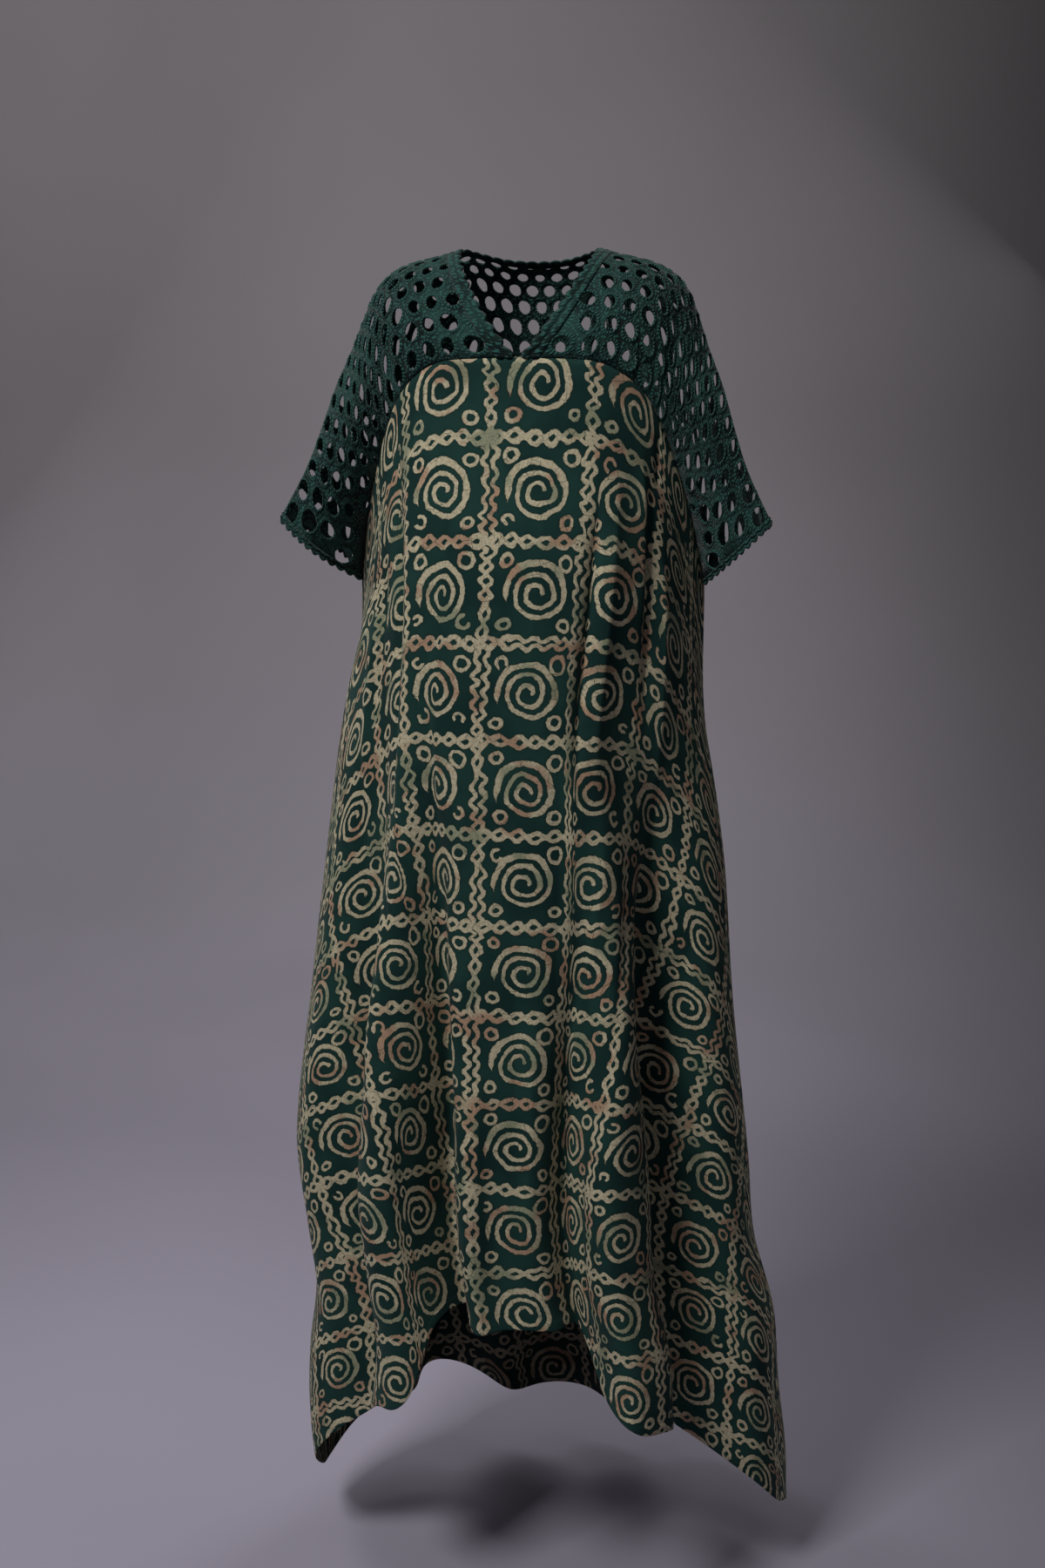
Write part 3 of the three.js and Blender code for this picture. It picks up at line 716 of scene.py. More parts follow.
def inside_outline(outline, places):
    """Whether flat places lie inside a closed outline."""
    inside = np.zeros(len(places), bool)
    for (x0, y0), (x1, y1) in zip(outline, np.roll(outline, -1, axis=0)):
        if y0 != y1:
            crosses = (y0 > places[:, 1]) != (y1 > places[:, 1])
            inside ^= crosses & (places[:, 0] < (x1 - x0) * (places[:, 1] - y0) / (y1 - y0) + x0)
    return inside


def distance_to_outline(outline, places):
    """Distance from flat places to the nearest edge of a closed outline."""
    nearest = np.full(len(places), np.inf)
    for start, end in zip(outline, np.roll(outline, -1, axis=0)):
        run = end - start
        t = np.clip(((places - start) @ run) / max(run @ run, 1e-9), 0, 1)
        nearest = np.minimum(nearest, np.linalg.norm(places - start - t[:, None] * run, axis=1))
    return nearest


def lace_holes(cut, outline, sizes, rng):
    """Centres and half sizes of the staggered oval holes that fit inside a lace piece, in mm."""
    last = math.ceil(outline[:, 0].max() / cut.pitch)
    rows = np.arange(math.ceil(max(LACE_ROWS[cut.side])))
    column, row = (grid.ravel() for grid in np.meshgrid(np.arange(-last, last + 1), rows))
    column = column + 0.5 * (row % 2)
    centres = np.stack(cut.from_net(column, row), axis=1)
    beside, below = cut.from_net(column + 0.5, row)[0], cut.from_net(column, row + 0.5)[1]
    from_cuff = np.abs(centres[:, 0]) - np.abs(outline[:, 0]).max()
    grown = 1 + CUFF_HOLE_GROWTH * smoothstep(-CUFF_HOLES[0], -CUFF_HOLES[1], from_cuff)
    grown = grown * rng.uniform(*HOLE_SPREAD, len(centres))
    room = distance_to_outline(outline, centres) - HOLE_MARGIN
    room[~inside_outline(outline, centres)] = -1
    half = np.stack([beside - centres[:, 0], below - centres[:, 1]], axis=1)
    half = half * (sizes.hole_across, sizes.hole_down) * grown[:, None]
    half = np.minimum(half, room[:, None])
    kept = half.min(axis=1) > SMALLEST_HOLE
    return centres[kept], half[kept]


def turned(x, y, angle):
    """Flat places turned round the middle."""
    return x * np.cos(angle) - y * np.sin(angle), x * np.sin(angle) + y * np.cos(angle)


def closed_loops(index):
    """Edges that join the points of each row and close it."""
    return np.stack([index, np.roll(index, -1, axis=-1)], axis=-1).reshape(-1, 2)


def cut_net(outline, centres, half, rng):
    """Points, their heights and the triangles of a flat net, in mm, with a raised cord round each hole."""
    count = len(centres)
    turns = np.arange(HOLE_CORNERS) * 2 * math.pi / HOLE_CORNERS
    uneven = rng.normal(0, HOLE_UNEVENNESS, (count, HOLE_CORNERS, 1))
    tilt = rng.uniform(-HOLE_TILT, HOLE_TILT, count)[:, None]
    places, heights = [outline], [np.full(len(outline), SEAM_LAP_RISE)]
    edges = [closed_loops(np.arange(len(outline)))]
    owner = [np.full(len(outline), -1)]
    for grow, height in HOLE_CORD:
        shape = half[:, None, :] * (1 + uneven) + grow
        x, y = turned(shape[..., 0] * np.cos(turns), shape[..., 1] * np.sin(turns), tilt)
        ring = (centres[:, None, :] + np.stack([x, y], axis=-1)).reshape(-1, 2)
        if grow == 0:
            first = sum(map(len, places))
            edges.append(closed_loops(first + np.arange(len(ring)).reshape(count, HOLE_CORNERS)))
            hole = np.repeat(np.arange(count), HOLE_CORNERS)
        else:
            clear = distance_to_outline(outline, ring) > RING_CLEARANCE
            ring = ring[inside_outline(outline, ring) & clear]
            hole = np.full(len(ring), -1)
        places.append(ring)
        heights.append(np.full(len(ring), height))
        owner.append(hole)
    corners = [Vector(place) for place in np.concatenate(places)]
    found = delaunay_2d_cdt(corners, np.concatenate(edges).tolist(), [], 0, SAME_POINT, True)
    flat = np.array([tuple(place) for place in found[0]])
    source = np.array([ids[0] if ids else 0 for ids in found[3]])
    faces = np.array([face for face in found[2] if len(face) == 3])
    holes = np.concatenate(owner)[source][faces]
    in_hole = (holes[:, 0] >= 0) & (holes == holes[:, :1]).all(axis=1)
    faces = faces[~in_hole & inside_outline(outline, flat[faces].mean(axis=1))]
    used, faces = np.unique(faces, return_inverse=True)
    return flat[used], np.concatenate(heights)[source][used], faces.reshape(-1, 3)


def make_lace(name, side, hand, sizes, outside, inside):
    """A lace piece: staggered holes cut through a thick net, each with a raised cord round it."""
    rng = np.random.default_rng(LACE_SEEDS[name])
    cut = LaceCut(side, hand, sizes.hole_pitch / MM)
    outline = np.stack(cut.flat(*lace_outline(side).T), axis=1)
    centres, half = lace_holes(cut, outline, sizes, rng)
    flat, heights, faces = cut_net(outline, centres, half, rng)
    outer = cut.points(*flat.T)
    edge_a, edge_b = outer[faces[:, 1]] - outer[faces[:, 0]], outer[faces[:, 2]] - outer[faces[:, 0]]
    if (np.cross(edge_a, edge_b)[:, 1] * FACING[side]).sum() < 0:
        faces = faces[:, ::-1]
    relief = heights + crease_depth(LACE_CREASES[side, hand], *flat.T)
    outer = outer + surface_normals(outer, faces) * relief[:, None]
    uv_maps = {"flat": flat * MM, "net": np.stack(cut.net(*flat.T), axis=1)}
    return make_cloth(name, outer, faces, uv_maps, sizes.lace_wall / MM, outside, inside)


# ---- edgings


def edging_strip(place, facing, scalloped):
    """A strip of edging: place(across, along) gives worn points for shares across the band and along it."""
    middle = place(np.full(EDGING_SAMPLES, 0.5), np.linspace(0, 1, EDGING_SAMPLES))
    length = arc_length(middle, 0)[-1]
    ends = place(np.array([0.0, 1.0]), np.array([0.5, 0.5]))
    width = np.linalg.norm(ends[1] - ends[0])
    scallops = max(round(length / SCALLOP_PITCH), 1)
    along = np.linspace(0, 1, scallops * SCALLOP_STEPS + 1)[None, :]
    part = np.linspace(0, 1, CORDS * CORD_STEPS + 1)[:, None]
    shell = np.abs(np.sin(along * scallops * math.pi))
    notch, lap = (1 - shell) * SCALLOP_DEPTH / width, EDGING_LAP / width
    across = lerp(notch, 1 + lap, part) if scalloped == "inner" else lerp(-lap, 1 - notch, part)
    surface = place(across, along)
    rows, columns = surface.shape[:2]
    faces = grid_faces(rows, columns)
    outer = surface.reshape(-1, 3)
    normals = surface_normals(outer, faces)
    if (normals[:, 1] * facing).sum() < 0:
        faces, normals = faces[:, ::-1], -normals
    cord = np.abs(np.sin(part * CORDS * math.pi)) ** CORD_ROUNDNESS
    to_edge = 1 - part if scalloped == "inner" else part
    crown = shell * smoothstep(*SCALLOP_RISES, to_edge)
    rise = (EDGING_RISE + CORD_RISE * cord + SCALLOP_RISE * crown).ravel()
    flat = np.stack(np.broadcast_arrays(along * length * MM, part * CORDS * CORD_WIDTH), axis=-1)
    return outer + normals * rise[:, None], faces, flat.reshape(-1, 2)


def make_edging(name, strips, sizes, material):
    """Join strips of edging into one piece."""
    outers, faces, flats = zip(*strips)
    starts = np.cumsum([0, *map(len, outers)])
    faces = np.concatenate([part + start for part, start in zip(faces, starts)])
    uv_maps = {"flat": np.concatenate(flats)}
    wall = sizes.lace_wall / MM
    return make_cloth(name, np.concatenate(outers), faces, uv_maps, wall, material, material)


def neck_strips():
    def front(hand):
        return lambda across, along: lace_points("front", hand, front_neck_width(along) * across,
                                                 along * SEAM_END)

    def back(across, along):
        place = lerp(-1, 1, along) * (BACK_HALF + AT_SHOULDER)
        beyond = np.abs(place) - BACK_HALF
        return lace_points("back", np.where(place < 0, -1.0, 1.0), beyond, back_neck_width(beyond) * across)

    fronts = [edging_strip(front(hand), FACING["front"], "inner") for hand in (1, -1)]
    return fronts + [edging_strip(back, FACING["back"], "inner")]


def cuff_strips(hand):
    def half(side):
        return lambda across, along: lace_points(side, hand, lerp(1 - CUFF, 1, across), along * SEAM_END)

    return [edging_strip(half(side), FACING[side], "outer") for side in FACING]


# ---- shader maths


def forward(operation):
    return lambda value, other: value.shader.maths(operation, value, other)


def reflected(operation):
    return lambda value, other: value.shader.maths(operation, other, value)


class Value:
    """A number that a shader socket carries; arithmetic on it adds Math nodes."""

    def __init__(self, shader, socket):
        self.shader, self.socket = shader, socket

    def math(self, operation, *others):
        return self.shader.maths(operation, self, *others)

    __add__, __radd__ = forward("ADD"), reflected("ADD")
    __sub__, __rsub__ = forward("SUBTRACT"), reflected("SUBTRACT")
    __mul__, __rmul__ = forward("MULTIPLY"), reflected("MULTIPLY")
    __truediv__, __rtruediv__ = forward("DIVIDE"), reflected("DIVIDE")
    __gt__, __lt__ = forward("GREATER_THAN"), forward("LESS_THAN")
    least, most = forward("MINIMUM"), forward("MAXIMUM")

    def __abs__(self):
        return self.math("ABSOLUTE")

    def smooth(self, start, end, low=0.0, high=1.0):
        """Go smoothly from low to high while this value goes from start to end."""
        settings = {"interpolation_type": "SMOOTHSTEP"}
        sockets = {"Value": self, "From Min": start, "From Max": end, "To Min": low, "To Max": high}
        return self.shader.node("MapRange", settings, sockets)


class Shader:
    """The node tree of one material, from its flat UV map to its Principled shader."""

    def __init__(self, name, **constants):
        self.material = bpy.data.materials.new(name)
        self.material.use_nodes = True
        self.tree = self.material.node_tree
        self.finish = self.tree.nodes["Principled BSDF"]
        for socket, value in constants.items():
            self.finish.inputs[socket.replace("_", " ")].default_value = value
        self.place = self.node("UVMap", {"uv_map": "flat"})

    def node(self, kind, settings=None, sockets=None, output=0):
        """Add a node: its settings first, then values or links for its sockets; output may name several."""
        node = self.tree.nodes.new("ShaderNode" + kind)
        for name, value in (settings or {}).items():
            setattr(node, name, value)
        for key, value in (sockets or {}).items():
            if isinstance(value, Value):
                self.tree.links.new(value.socket, node.inputs[key])
            else:
                node.inputs[key].default_value = value
        if isinstance(output, tuple):
            return tuple(Value(self, node.outputs[key]) for key in output)
        return Value(self, node.outputs[output])

    def maths(self, operation, *values):
        return self.node("Math", {"operation": operation}, dict(enumerate(values)))

    def parts(self, kind, source):
        """The first two parts of a vector or a colour."""
        return self.node("Separate" + kind, None, {0: source}, (0, 1))

    def noise(self, scale, detail, offset, output=0):
        shift = (offset, offset * NOISE_SKEW, 0)
        place = self.node("VectorMath", {"operation": "ADD"}, {0: self.place, 1: shift})
        sockets = {"Vector": place, "Scale": scale, "Detail": detail}
        return self.node("TexNoise", {"noise_dimensions": "2D"}, sockets, output)

    def patches(self, name):
        """Soft random patches with the sizes and shares that a name stands for."""
        scale, detail, offset, *stops = PATCHES[name]
        return self.noise(scale, detail, offset).smooth(*stops)

    def voronoi(self, scale, feature="F1"):
        settings = {"voronoi_dimensions": "2D", "feature": feature}
        return self.node("TexVoronoi", settings, {"Vector": self.place, "Scale": scale}, "Distance")

    def random(self, x, y):
        """Two even random numbers for each whole x and y."""
        cell = self.node("CombineXYZ", None, {0: x, 1: y})
        colour = self.node("TexWhiteNoise", {"noise_dimensions": "2D"}, {"Vector": cell}, "Color")
        return self.parts("Color", colour)

    def mix(self, share, first, second, blend="MIX"):
        settings = {"data_type": "RGBA", "blend_type": blend}
        return self.node("Mix", settings, {0: share, 6: first, 7: second}, 2)

    def tinted(self, colour, red, green, blue):
        tint = self.node("CombineColor", None, {0: red, 1: green, 2: blue})
        return self.mix(1.0, colour, tint, "MULTIPLY")

    def colour(self, value):
        self.tree.links.new(value.socket, self.finish.inputs["Base Color"])

    def roughness(self, value):
        self.tree.links.new(value.socket, self.finish.inputs["Roughness"])

    def relief(self, height, distance, strength):
        bump = self.node("Bump", None, {"Height": height, "Distance": distance, "Strength": strength})
        self.tree.links.new(bump.socket, self.finish.inputs["Normal"])


# ---- finishes

TURN = 2 * math.pi


def spiral_edge(x, y):
    """Signed distance to the edge of a hand-drawn spiral, negative on its line."""
    y = (y + SPIRAL["drop"]) / SPIRAL["tall"]
    radius = (x * x + y * y).math("SQRT")
    swept = ((SPIRAL["start"] - y.math("ARCTAN2", x)) / TURN).math("FRACT")
    ring = (SPIRAL["radius"] - radius) / SPIRAL["pitch"] - swept
    whole = ring.math("ROUND").most(0.0).least(SPIRAL["whole_turns"])
    gone = swept + whole
    start_taper, end_taper = SPIRAL["tapers"]
    taper = gone.smooth(0.0, start_taper)
    taper = taper * gone.smooth(SPIRAL["turns"] - end_taper, SPIRAL["turns"], 1.0, 0.0)
    half = gone.smooth(*SPIRAL["thins"], SPIRAL["outer_half"], SPIRAL["inner_half"]) * taper
    missing = (gone > SPIRAL["turns"]) * BEYOND
    return abs(ring - whole) * SPIRAL["pitch"] - half + missing


def ring_edge(shader, x, y, column, row):
    """Signed distance to the edge of the small rings in a cell's corners, some of them broken."""
    right, top = x > 0.0, y > 0.0
    seeds = RING["seeds"]
    first, second = shader.random(column * 2 + right + seeds[0], row * 2 + top + seeds[1])
    from_x = abs(x) - RING["across"] + (first - 0.5) * RING["stray"]
    from_y = abs(y) - RING["up"] + (second - 0.5) * RING["stray"]
    wide, tall, spread = RING["shape"]
    squares = from_x * from_x * (wide + spread * second) + from_y * from_y * (tall - spread * first)
    radius = squares.math("SQRT")
    size = RING["radius"] + right * top * RING["larger"] + (first - 0.5) * RING["sizes"]
    angle = from_y.math("ARCTAN2", from_x)
    opening = (angle - first * TURN).math("COSINE").smooth(*RING["opening"])
    opening = opening * (second > RING["broken"]) * (1 - right * top)
    return abs(radius - size) - RING["half"] * (1 - opening) + opening * RING["gap"]


def wave_edge(away, phase, braid):
    """Signed distance to the edge of one wavy line."""
    swing = phase.math("SINE") * braid["swing"]
    slope = phase.math("COSINE") * (braid["swing"] * TURN / braid["wave"])
    return abs(away - swing) / (slope * slope + 1).math("SQRT") - braid["half"]


def braid_edge(away, along, braid, loose):
    """Two wavy lines along a cell's side: side by side where loose is low, plaited where it is high."""
    plait = loose.smooth(*braid["plaited"])
    phase = along * (TURN / braid["wave"]) + loose * braid["drift"]
    apart = lerp(braid["far"], braid["near"], plait)
    first = wave_edge(away - apart, phase, braid)
    return first.least(wave_edge(away + apart, phase + lerp(*BRAID_PHASES, plait), braid))


def wax_edge(shader, cell, row_height):
    """Signed distance to the edge of all waxed lines of the print."""
    u, v = shader.parts("XYZ", shader.place)
    for scale, offset, amount in WAX_WAVER:
        aside, down = shader.parts("Color", shader.noise(scale, 1, offset, "Color"))
        u, v = u + (aside - 0.5) * amount, v + (down - 0.5) * amount
    column = (u - FIRST_COLUMN) / cell * (1 + COLUMN_TAKE_UP * v)
    row = (v * (1 + ROW_TAKE_UP * v) - FIRST_ROW) / row_height
    at_column, at_row = column.math("FLOOR"), row.math("FLOOR")
    x = (column - at_column - 0.5) * cell
    y = (0.5 - (row - at_row)) * row_height
    first, second = shader.random(at_column, at_row)
    spiral = spiral_edge(x + (first - 0.5) * SPIRAL["stray"], y + (second - 0.5) * SPIRAL["stray"])
    ring = ring_edge(shader, x, y, at_column, at_row)
    level = ((row + 0.5).math("FRACT") - 0.5) * row_height
    upright = ((column + 0.5).math("FRACT") - 0.5) * cell
    loose = shader.noise(*LOOSE_BRAID)
    braid = braid_edge(level, u, LEVEL_BRAID, loose).least(braid_edge(upright, v, UPRIGHT_BRAID, loose))
    return spiral.least(ring).least(braid)


def printed_cotton(name, colours, sizes, painted_light_share):
    """Batik cotton: waxed beige lines with peach and sage patches, fine cracks and a mottled green ground; a
    faint painted shade follows the weave, and the wrong side is painted darker as shade inside the dress.
    """
    shader = Shader(name, Sheen_Weight=0.03, Sheen_Roughness=0.5, Specular_IOR_Level=0.14)
    edge = wax_edge(shader, sizes.print_cell, sizes.print_row)
    fray = (shader.noise(*FRAY_NOISE) - 0.5) * LINE_FRAY
    line = (edge + fray).smooth(*LINE_SOFTNESS, 1.0, 0.0)
    cracks = shader.voronoi(CRACKS["scale"], "DISTANCE_TO_EDGE").smooth(*CRACKS["width"], 1.0, 0.0)
    cracks = cracks * shader.patches("cracked")
    line = line * (1 - cracks * CRACKS["loss"]) * (1 - shader.patches("specks") * SPECK_LOSS)
    wax = colours.wax
    for patch in ("peach", "sage", "wax_shade"):
        wax = shader.mix(shader.patches(patch), wax, getattr(colours, patch))
    ground = shader.mix(shader.patches("ground_deep"), colours.ground, colours.ground_deep)
    ground = shader.mix(edge.smooth(0.0, HALO["width"], HALO["depth"], 0.0), ground, colours.ground_edge)
    u, v = shader.parts("XYZ", shader.place)
    # Painted shade of the threads: the weave makes the colour a little darker and lighter.
    weave = (u * (TURN / COTTON_THREAD)).math("SINE") * (v * (TURN / COTTON_THREAD)).math("SINE")
    # Painted shade: on the wrong side this share darkens the whole colour.
    shade = painted_light_share * (1 + WEAVE["shade"] * weave)
    shader.colour(shader.tinted(shader.mix(line, ground, wax), shade, shade, shade))
    plain, uneven, less = COTTON_ROUGHNESS
    shader.roughness(plain + shader.noise(*ROUGHNESS_NOISE) * uneven - line * less)
    shader.relief(weave * WEAVE["rise"] + shader.noise(*CREPING), *COTTON_RELIEF)
    return shader.material


def lace_thread(name):
    """A shader for lace, with the height of its looped stitches and of its finest strands."""
    shader = Shader(name, Sheen_Weight=0.08, Sheen_Roughness=0.45, Specular_IOR_Level=0.2)
    loops = shader.voronoi(1 / CROCHET_STITCH).smooth(*CROCHET_LOOP, 1.0, 0.0)
    return shader, loops, shader.noise(*STRANDS)


def finish_thread(shader, colours, kind, height, strands, relief):
    """Colour, roughness and relief of lace thread from the height of its stitches; low places are painted
    dark as shade.
    """
    # Painted shade: low heights take the near-black shade colour, high ones the lit thread colour.
    thread = shader.mix(height.smooth(*THREAD_TONES[kind]), colours.lace_painted_shade, colours.lace)
    shader.colour(shader.mix(shader.patches(f"{kind}_worn"), thread, colours.lace_worn))
    plain, uneven = LACE_ROUGHNESS
    shader.roughness(plain + strands * uneven)
    shader.relief(height, *relief)
    return shader.material


def crochet(name, colours, sizes):
    """Thick lace: looped stitches over the whole net, and a groove and wrapped stitches round each hole; low
    places and the groove get painted shade.
    """
    shader, loops, strands = lace_thread(name)
    across, down = shader.parts("XYZ", shader.node("UVMap", {"uv_map": "net"}))
    row = down.math("ROUND")
    across = across - (row * 0.5).math("FRACT")
    x = (across - across.math("ROUND")) * (2 / sizes.hole_across)
    y = (down - row) * (2 / sizes.hole_down)
    from_hole = (x * x + y * y).math("SQRT")
    uneven = shader.noise(*WRAP_NOISE) * WRAP_SWAY
    wrap = (y.math("ARCTAN2", x) * WRAPS_ROUND_HOLE + uneven).math("SINE") * 0.5 + 0.5
    on_cord = from_hole.smooth(*CROCHET_CORD, 1.0, 0.0)
    # The groove is painted shade as well as relief: a dark line between the rims of neighbouring holes.
    start, middle, end, low = CROCHET_GROOVE
    groove = from_hole.smooth(start, middle, 1.0, low).most(from_hole.smooth(middle, end, low, 1.0))
    stitches = (wrap * on_cord + loops * (1 - on_cord)) * STITCH_SHARE
    height = (stitches + strands * STRAND_SHARE) * groove
    return finish_thread(shader, colours, "lace", height, strands, LACE_RELIEF)


def corded_edging(name, colours):
    """Edging of parallel cords, each wrapped with slanting stitches; the gaps between cords and stitches get
    painted shade.
    """
    shader, loops, strands = lace_thread(name)
    s, t = shader.parts("XYZ", shader.place)
    uneven = shader.noise(*CORD_NOISE) * CORD_SWAY
    slant = (s * (TURN / CORD_STITCH) + t * (TURN / CORD_SLANT) + uneven).math("SINE")
    # Painted shade between the cords: their height also sets the colour.
    cord = abs((t * (TURN / 2 / CORD_WIDTH)).math("SINE")).smooth(*CORD_SHADOW)
    slant_share, loop_share, plain = CORD_SHARES
    height = (slant * slant_share + loops * loop_share + plain) * cord + strands * STRAND_SHARE
    return finish_thread(shader, colours, "edging", height, strands, EDGING_RELIEF)


def plain_stage(name, colour):
    """Matt studio paper, laid out flat by its UV map; painted light darkens it up the wall and to one side.
    """
    shader = Shader(name, Roughness=0.95, Specular_IOR_Level=0.1)
    across, along = shader.parts("XYZ", shader.place)
    # Painted light: the paper's colour is scaled by where it lies, then mottled by soft clouds.
    painted_light_and_mottling = along.smooth(*PAPER_ALONG[0]) * along.smooth(*PAPER_ALONG[1])
    painted_light_and_mottling = painted_light_and_mottling * across.smooth(*PAPER_ACROSS[0]) * across.smooth(*PAPER_ACROSS[1])
    low, spread = PAPER_CLOUD_TONES
    painted_light_and_mottling = painted_light_and_mottling * (low + spread * shader.noise(*PAPER_CLOUDS))
    shader.colour(shader.tinted(colour, painted_light_and_mottling, painted_light_and_mottling, painted_light_and_mottling * along.smooth(*PAPER_BLUE)))
    return shader.material


# ---- settings


def number_property(name, description, default, **limits):
    return FloatProperty(name=name, description=description, default=default, **limits)


def length_property(name, description, default):
    return number_property(name, description, default, min=0.0001, unit="LENGTH", precision=4)


def share_property(name, description, default, **limits):
    return number_property(name, description, default, min=0, subtype="FACTOR", **limits)


def angle_property(name, description, degrees):
    return number_property(name, description, math.radians(degrees), subtype="ANGLE")


def colour_property(name, description, default):
    return FloatVectorProperty(name=name, description=description, default=(*default, 1.0), size=4, min=0,
                               max=1, subtype="COLOR")


class DressSizes(PropertyGroup):
    """Sizes of the cloth that a user may change."""

    cotton_wall: length_property("Cotton thickness", "Thickness of the printed cotton", 0.0008)
    lace_wall: length_property("Lace thickness", "Thickness of the lace and its edgings", 0.0020)
    hole_pitch: length_property("Hole pitch", "Distance between the holes in a row, at the neck", 0.0205)
    hole_across: share_property("Hole width", "Share of the distance between holes in a row", 0.62, max=1)
    hole_down: share_property("Hole length", "Share of the distance between rows of holes", 0.68, max=1)
    print_cell: length_property("Print width", "Width of one cell of the batik print", 0.1180)
    print_row: length_property("Print height", "Height of one cell of the batik print", 0.1215)


class DressColours(PropertyGroup):
    """Colours of the cloth."""

    ground: colour_property("Ground", "Dyed ground of the cotton", (0.0124, 0.0485, 0.0400))
    ground_deep: colour_property("Deep ground", "Darker patches of the ground", (0.0068, 0.0312, 0.0275))
    ground_edge: colour_property("Ground at lines", "Ground beside the waxed lines", (0.0045, 0.0210, 0.0150))
    wax: colour_property("Waxed line", "Main colour of the print's lines", (0.5950, 0.5250, 0.3550))
    peach: colour_property("Peach", "Warm patches in the lines", (0.4300, 0.2350, 0.1500))
    sage: colour_property("Sage", "Green patches in the lines", (0.2200, 0.2700, 0.1700))
    wax_shade: colour_property("Line shade", "Darker grain in the lines", (0.2700, 0.2150, 0.1300))
    lace: colour_property("Lace thread", "Light side of the lace thread", (0.0222, 0.0945, 0.0815))
    # Painted shade: the colour of the hollows between stitches and cords.
    lace_painted_shade: colour_property("Lace shade", "Between the stitches of the lace", (0.0015, 0.0080, 0.0070))
    lace_worn: colour_property("Lace patches", "Slightly paler patches of the lace", (0.0300, 0.1000, 0.0820))


class DressStage(PropertyGroup):
    """Floor, light and camera."""

    floor_drop: length_property("Floor drop", "How far the floor lies under the shoulder line", 1.63)
    paper: colour_property("Paper", "Colour of the floor and the backdrop", (0.258, 0.237, 0.259))
    azimuth: angle_property("Azimuth", "Camera turn to the wearer's left", 8)
    pitch: angle_property("Pitch", "Downward tilt of the camera", 11.5)
    distance: length_property("Distance", "Camera distance from the dress's upright axis", 2.4)
    brightness: share_property("Brightness", "Share of all lights", 1.0)


# ---- operators


class DRESS_OT_panels(Operator):
    """Make the printed front and back panels"""

    bl_idname = "dress.panels"
    bl_label = "Cotton Panels"

    def execute(self, context):
        sizes, colours = context.scene.dress_sizes, context.scene.dress_colours
        outside = printed_cotton("printed_cotton", colours, sizes, 1.0)
        # The wrong side carries painted shade: its colours are darkened for the inside of the dress.
        inside = printed_cotton("printed_cotton_wrong_side_painted_shade", colours, sizes, WRONG_SIDE_PAINTED_SHADE)
        for side in FACING:
            piece = make_panel(side, sizes, outside, inside)
            settle(piece, "printed_cotton", *PANEL_CUT[side], f"{side}_panel")
        return {"FINISHED"}


class DRESS_OT_lace(Operator):
    """Make the lace yoke and sleeves, with their holes cut through"""

    bl_idname = "dress.lace"
    bl_label = "Lace"

    def execute(self, context):
        sizes, colours = context.scene.dress_sizes, context.scene.dress_colours
        thread = crochet("crochet_lace", colours, sizes)
        for node, (side, hand) in LACE_PIECES.items():
            piece = make_lace(f"{node}_net", side, hand, sizes, thread, thread)
            settle(piece, "lace", *LACE_CUT[side], node)
        return {"FINISHED"}


class DRESS_OT_edgings(Operator):
    """Make the corded edgings of the neck and the sleeves"""

    bl_idname = "dress.edgings"
    bl_label = "Edgings"

    def execute(self, context):
        sizes, colours = context.scene.dress_sizes, context.scene.dress_colours
        cord = corded_edging("corded_edging", colours)
        neck = make_edging("neck_edging_cords", neck_strips(), sizes, cord)
        settle(neck, "lace_edging", *EDGING_CUT["neck"], "neck_edging")
        for hand, name in ((1, "left"), (-1, "right")):
            cuff = make_edging(f"cuff_edging_{name}_cords", cuff_strips(hand), sizes, cord)
            settle(cuff, "lace_edging", *EDGING_CUT["cuff"], f"cuff_edging_{name}")
        return {"FINISHED"}


def add_area_light(name, place, aim, power, size):
    lamp = bpy.data.lights.new(name, "AREA")
    lamp.energy, lamp.size = power, size
    lamp_object = bpy.data.objects.new(name, lamp)
    lamp_object.location = place
    lamp_object.rotation_euler = (Vector(aim) - Vector(place)).to_track_quat("-Z", "Y").to_euler()
    bpy.context.scene.collection.objects.link(lamp_object)


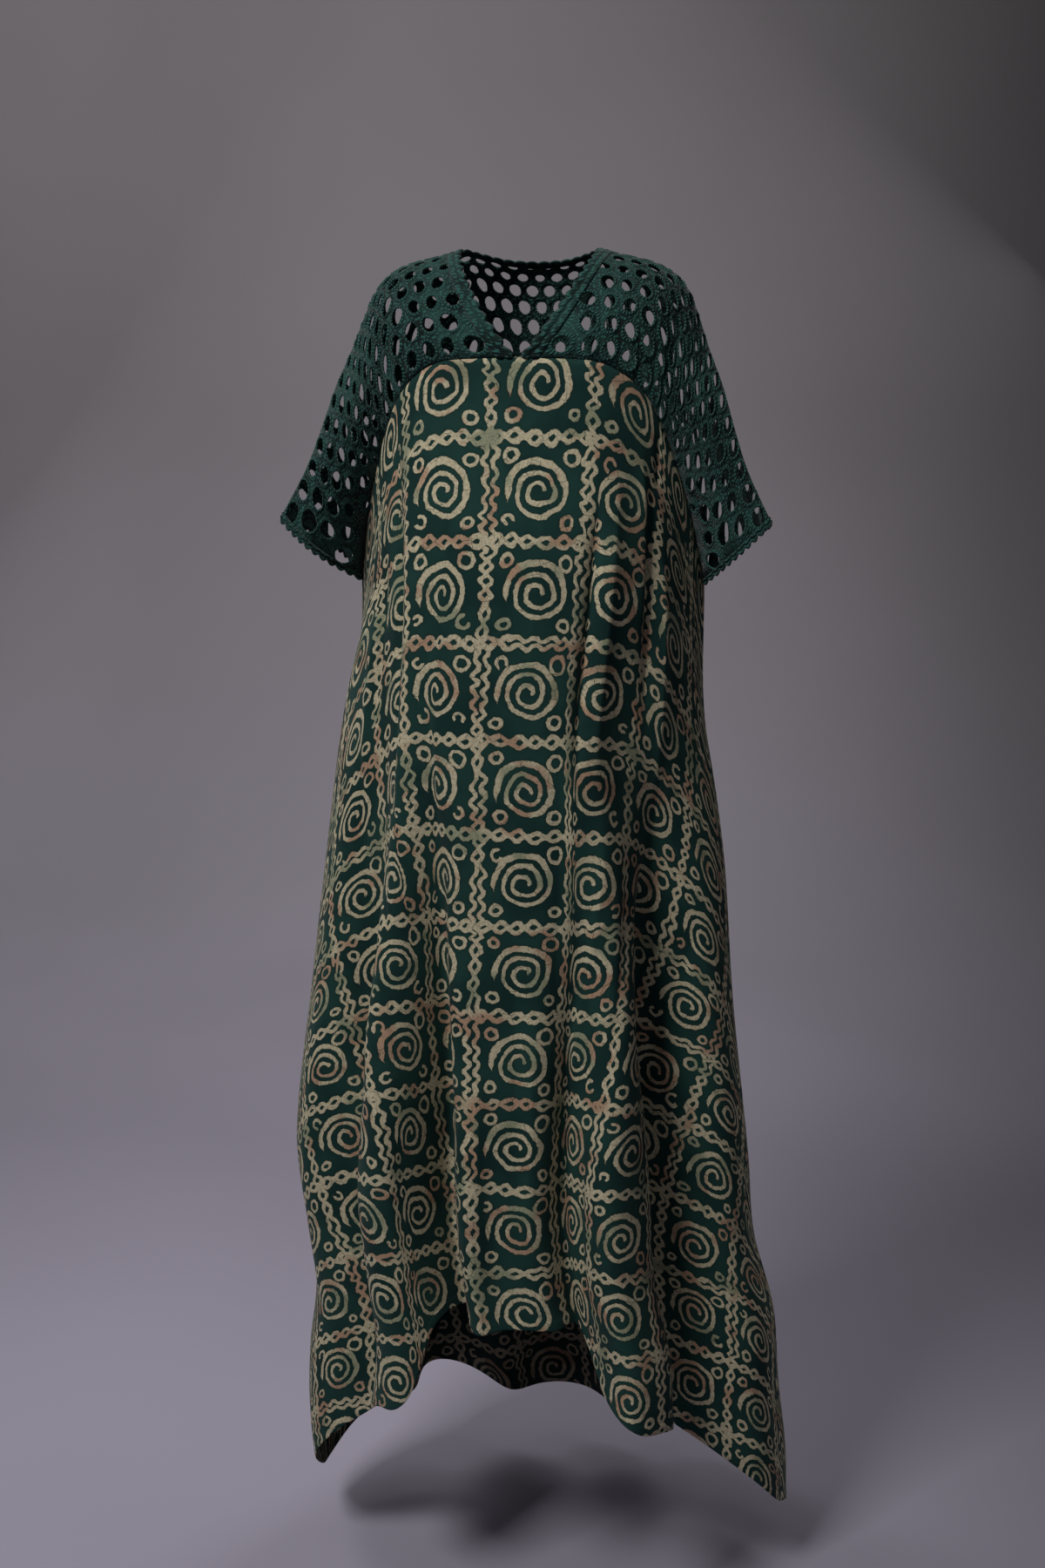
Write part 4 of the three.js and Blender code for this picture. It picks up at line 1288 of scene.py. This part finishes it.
class DRESS_OT_stage(Operator):
    """Make the floor with its backdrop, the lights and the camera"""

    bl_idname = "dress.stage"
    bl_label = "Stage"

    def execute(self, context):
        scene, stage = context.scene, context.scene.dress_stage
        sweep = np.linspace(0, math.pi / 2, SWEEP["steps"])
        back = SWEEP["back"] - SWEEP["radius"] + SWEEP["radius"] * np.sin(sweep)
        up = SWEEP["radius"] * (1 - np.cos(sweep))
        depth = np.concatenate([[-SWEEP["front"]], back, [SWEEP["back"]]])
        height = np.concatenate([[0.0], up, [SWEEP["height"]]]) - stage.floor_drop
        across = np.array([-SWEEP["half_width"], SWEEP["half_width"]])
        floor = points(across[None, :], depth[:, None], height[:, None])
        unrolled = arc_length(floor, 0).ravel()
        mesh = bpy.data.meshes.new("studio_paper")
        mesh.from_pydata(floor.reshape(-1, 3).tolist(), [], grid_faces(len(depth), 2).tolist())
        flat = mesh.uv_layers.new(name="flat")
        for loop, place in zip(mesh.loops, flat.data):
            place.uv = mesh.vertices[loop.vertex_index].co.x, unrolled[loop.vertex_index]
        for polygon in mesh.polygons:
            polygon.use_smooth = True
        mesh.materials.append(plain_stage("studio_paper", tuple(stage.paper)))
        paper = bpy.data.objects.new("studio_paper", mesh)
        scene.collection.objects.link(paper)

        for name, place, aim, power, size in LIGHTS:
            add_area_light(name, place, aim, power * stage.brightness, size)
        world = bpy.data.worlds.new("studio")
        world.use_nodes = True
        background = world.node_tree.nodes["Background"].inputs
        background["Color"].default_value = WORLD_COLOUR
        background["Strength"].default_value = WORLD_LIGHT * stage.brightness
        scene.world = world
        scene.view_settings.view_transform = "Standard"

        camera = bpy.data.cameras.new("camera")
        camera.sensor_fit, camera.sensor_height = "VERTICAL", SENSOR
        camera.lens = SENSOR * FOCAL_PIXELS / PICTURE_HEIGHT
        camera_object = bpy.data.objects.new("camera", camera)
        aside, ahead = math.sin(stage.azimuth), math.cos(stage.azimuth)
        camera_object.location = (stage.distance * aside, -stage.distance * ahead, EYE_HEIGHT)
        camera_object.rotation_euler = (math.pi / 2 - stage.pitch, 0, stage.azimuth + AIM_ASIDE)
        scene.collection.objects.link(camera_object)
        scene.camera = camera_object
        return {"FINISHED"}


class DRESS_PT_sidebar(Panel):
    """Lists the steps that build the dress"""

    bl_idname = "DRESS_PT_sidebar"
    bl_label = "Lace Maxi Dress"
    bl_space_type = "VIEW_3D"
    bl_region_type = "UI"
    bl_category = "Dress"

    def draw(self, context):
        layout = self.layout
        for operator in OPERATORS:
            layout.operator(operator.bl_idname)
        for group in (context.scene.dress_sizes, context.scene.dress_colours, context.scene.dress_stage):
            box = layout.box()
            for name in group.__annotations__:
                box.prop(group, name)


OPERATORS = (DRESS_OT_stage, DRESS_OT_panels, DRESS_OT_lace, DRESS_OT_edgings)
GROUPS = {"dress_sizes": DressSizes, "dress_colours": DressColours, "dress_stage": DressStage}


def register():
    for cls in (*GROUPS.values(), *OPERATORS, DRESS_PT_sidebar):
        bpy.utils.register_class(cls)
    for name, group in GROUPS.items():
        setattr(bpy.types.Scene, name, PointerProperty(type=group))


def unregister():
    for name in GROUPS:
        delattr(bpy.types.Scene, name)
    for cls in reversed((*GROUPS.values(), *OPERATORS, DRESS_PT_sidebar)):
        bpy.utils.unregister_class(cls)


def main():
    register()
    bpy.ops.dress.stage()
    bpy.ops.dress.panels()
    bpy.ops.dress.lace()
    bpy.ops.dress.edgings()


if __name__ == "__main__":
    main()
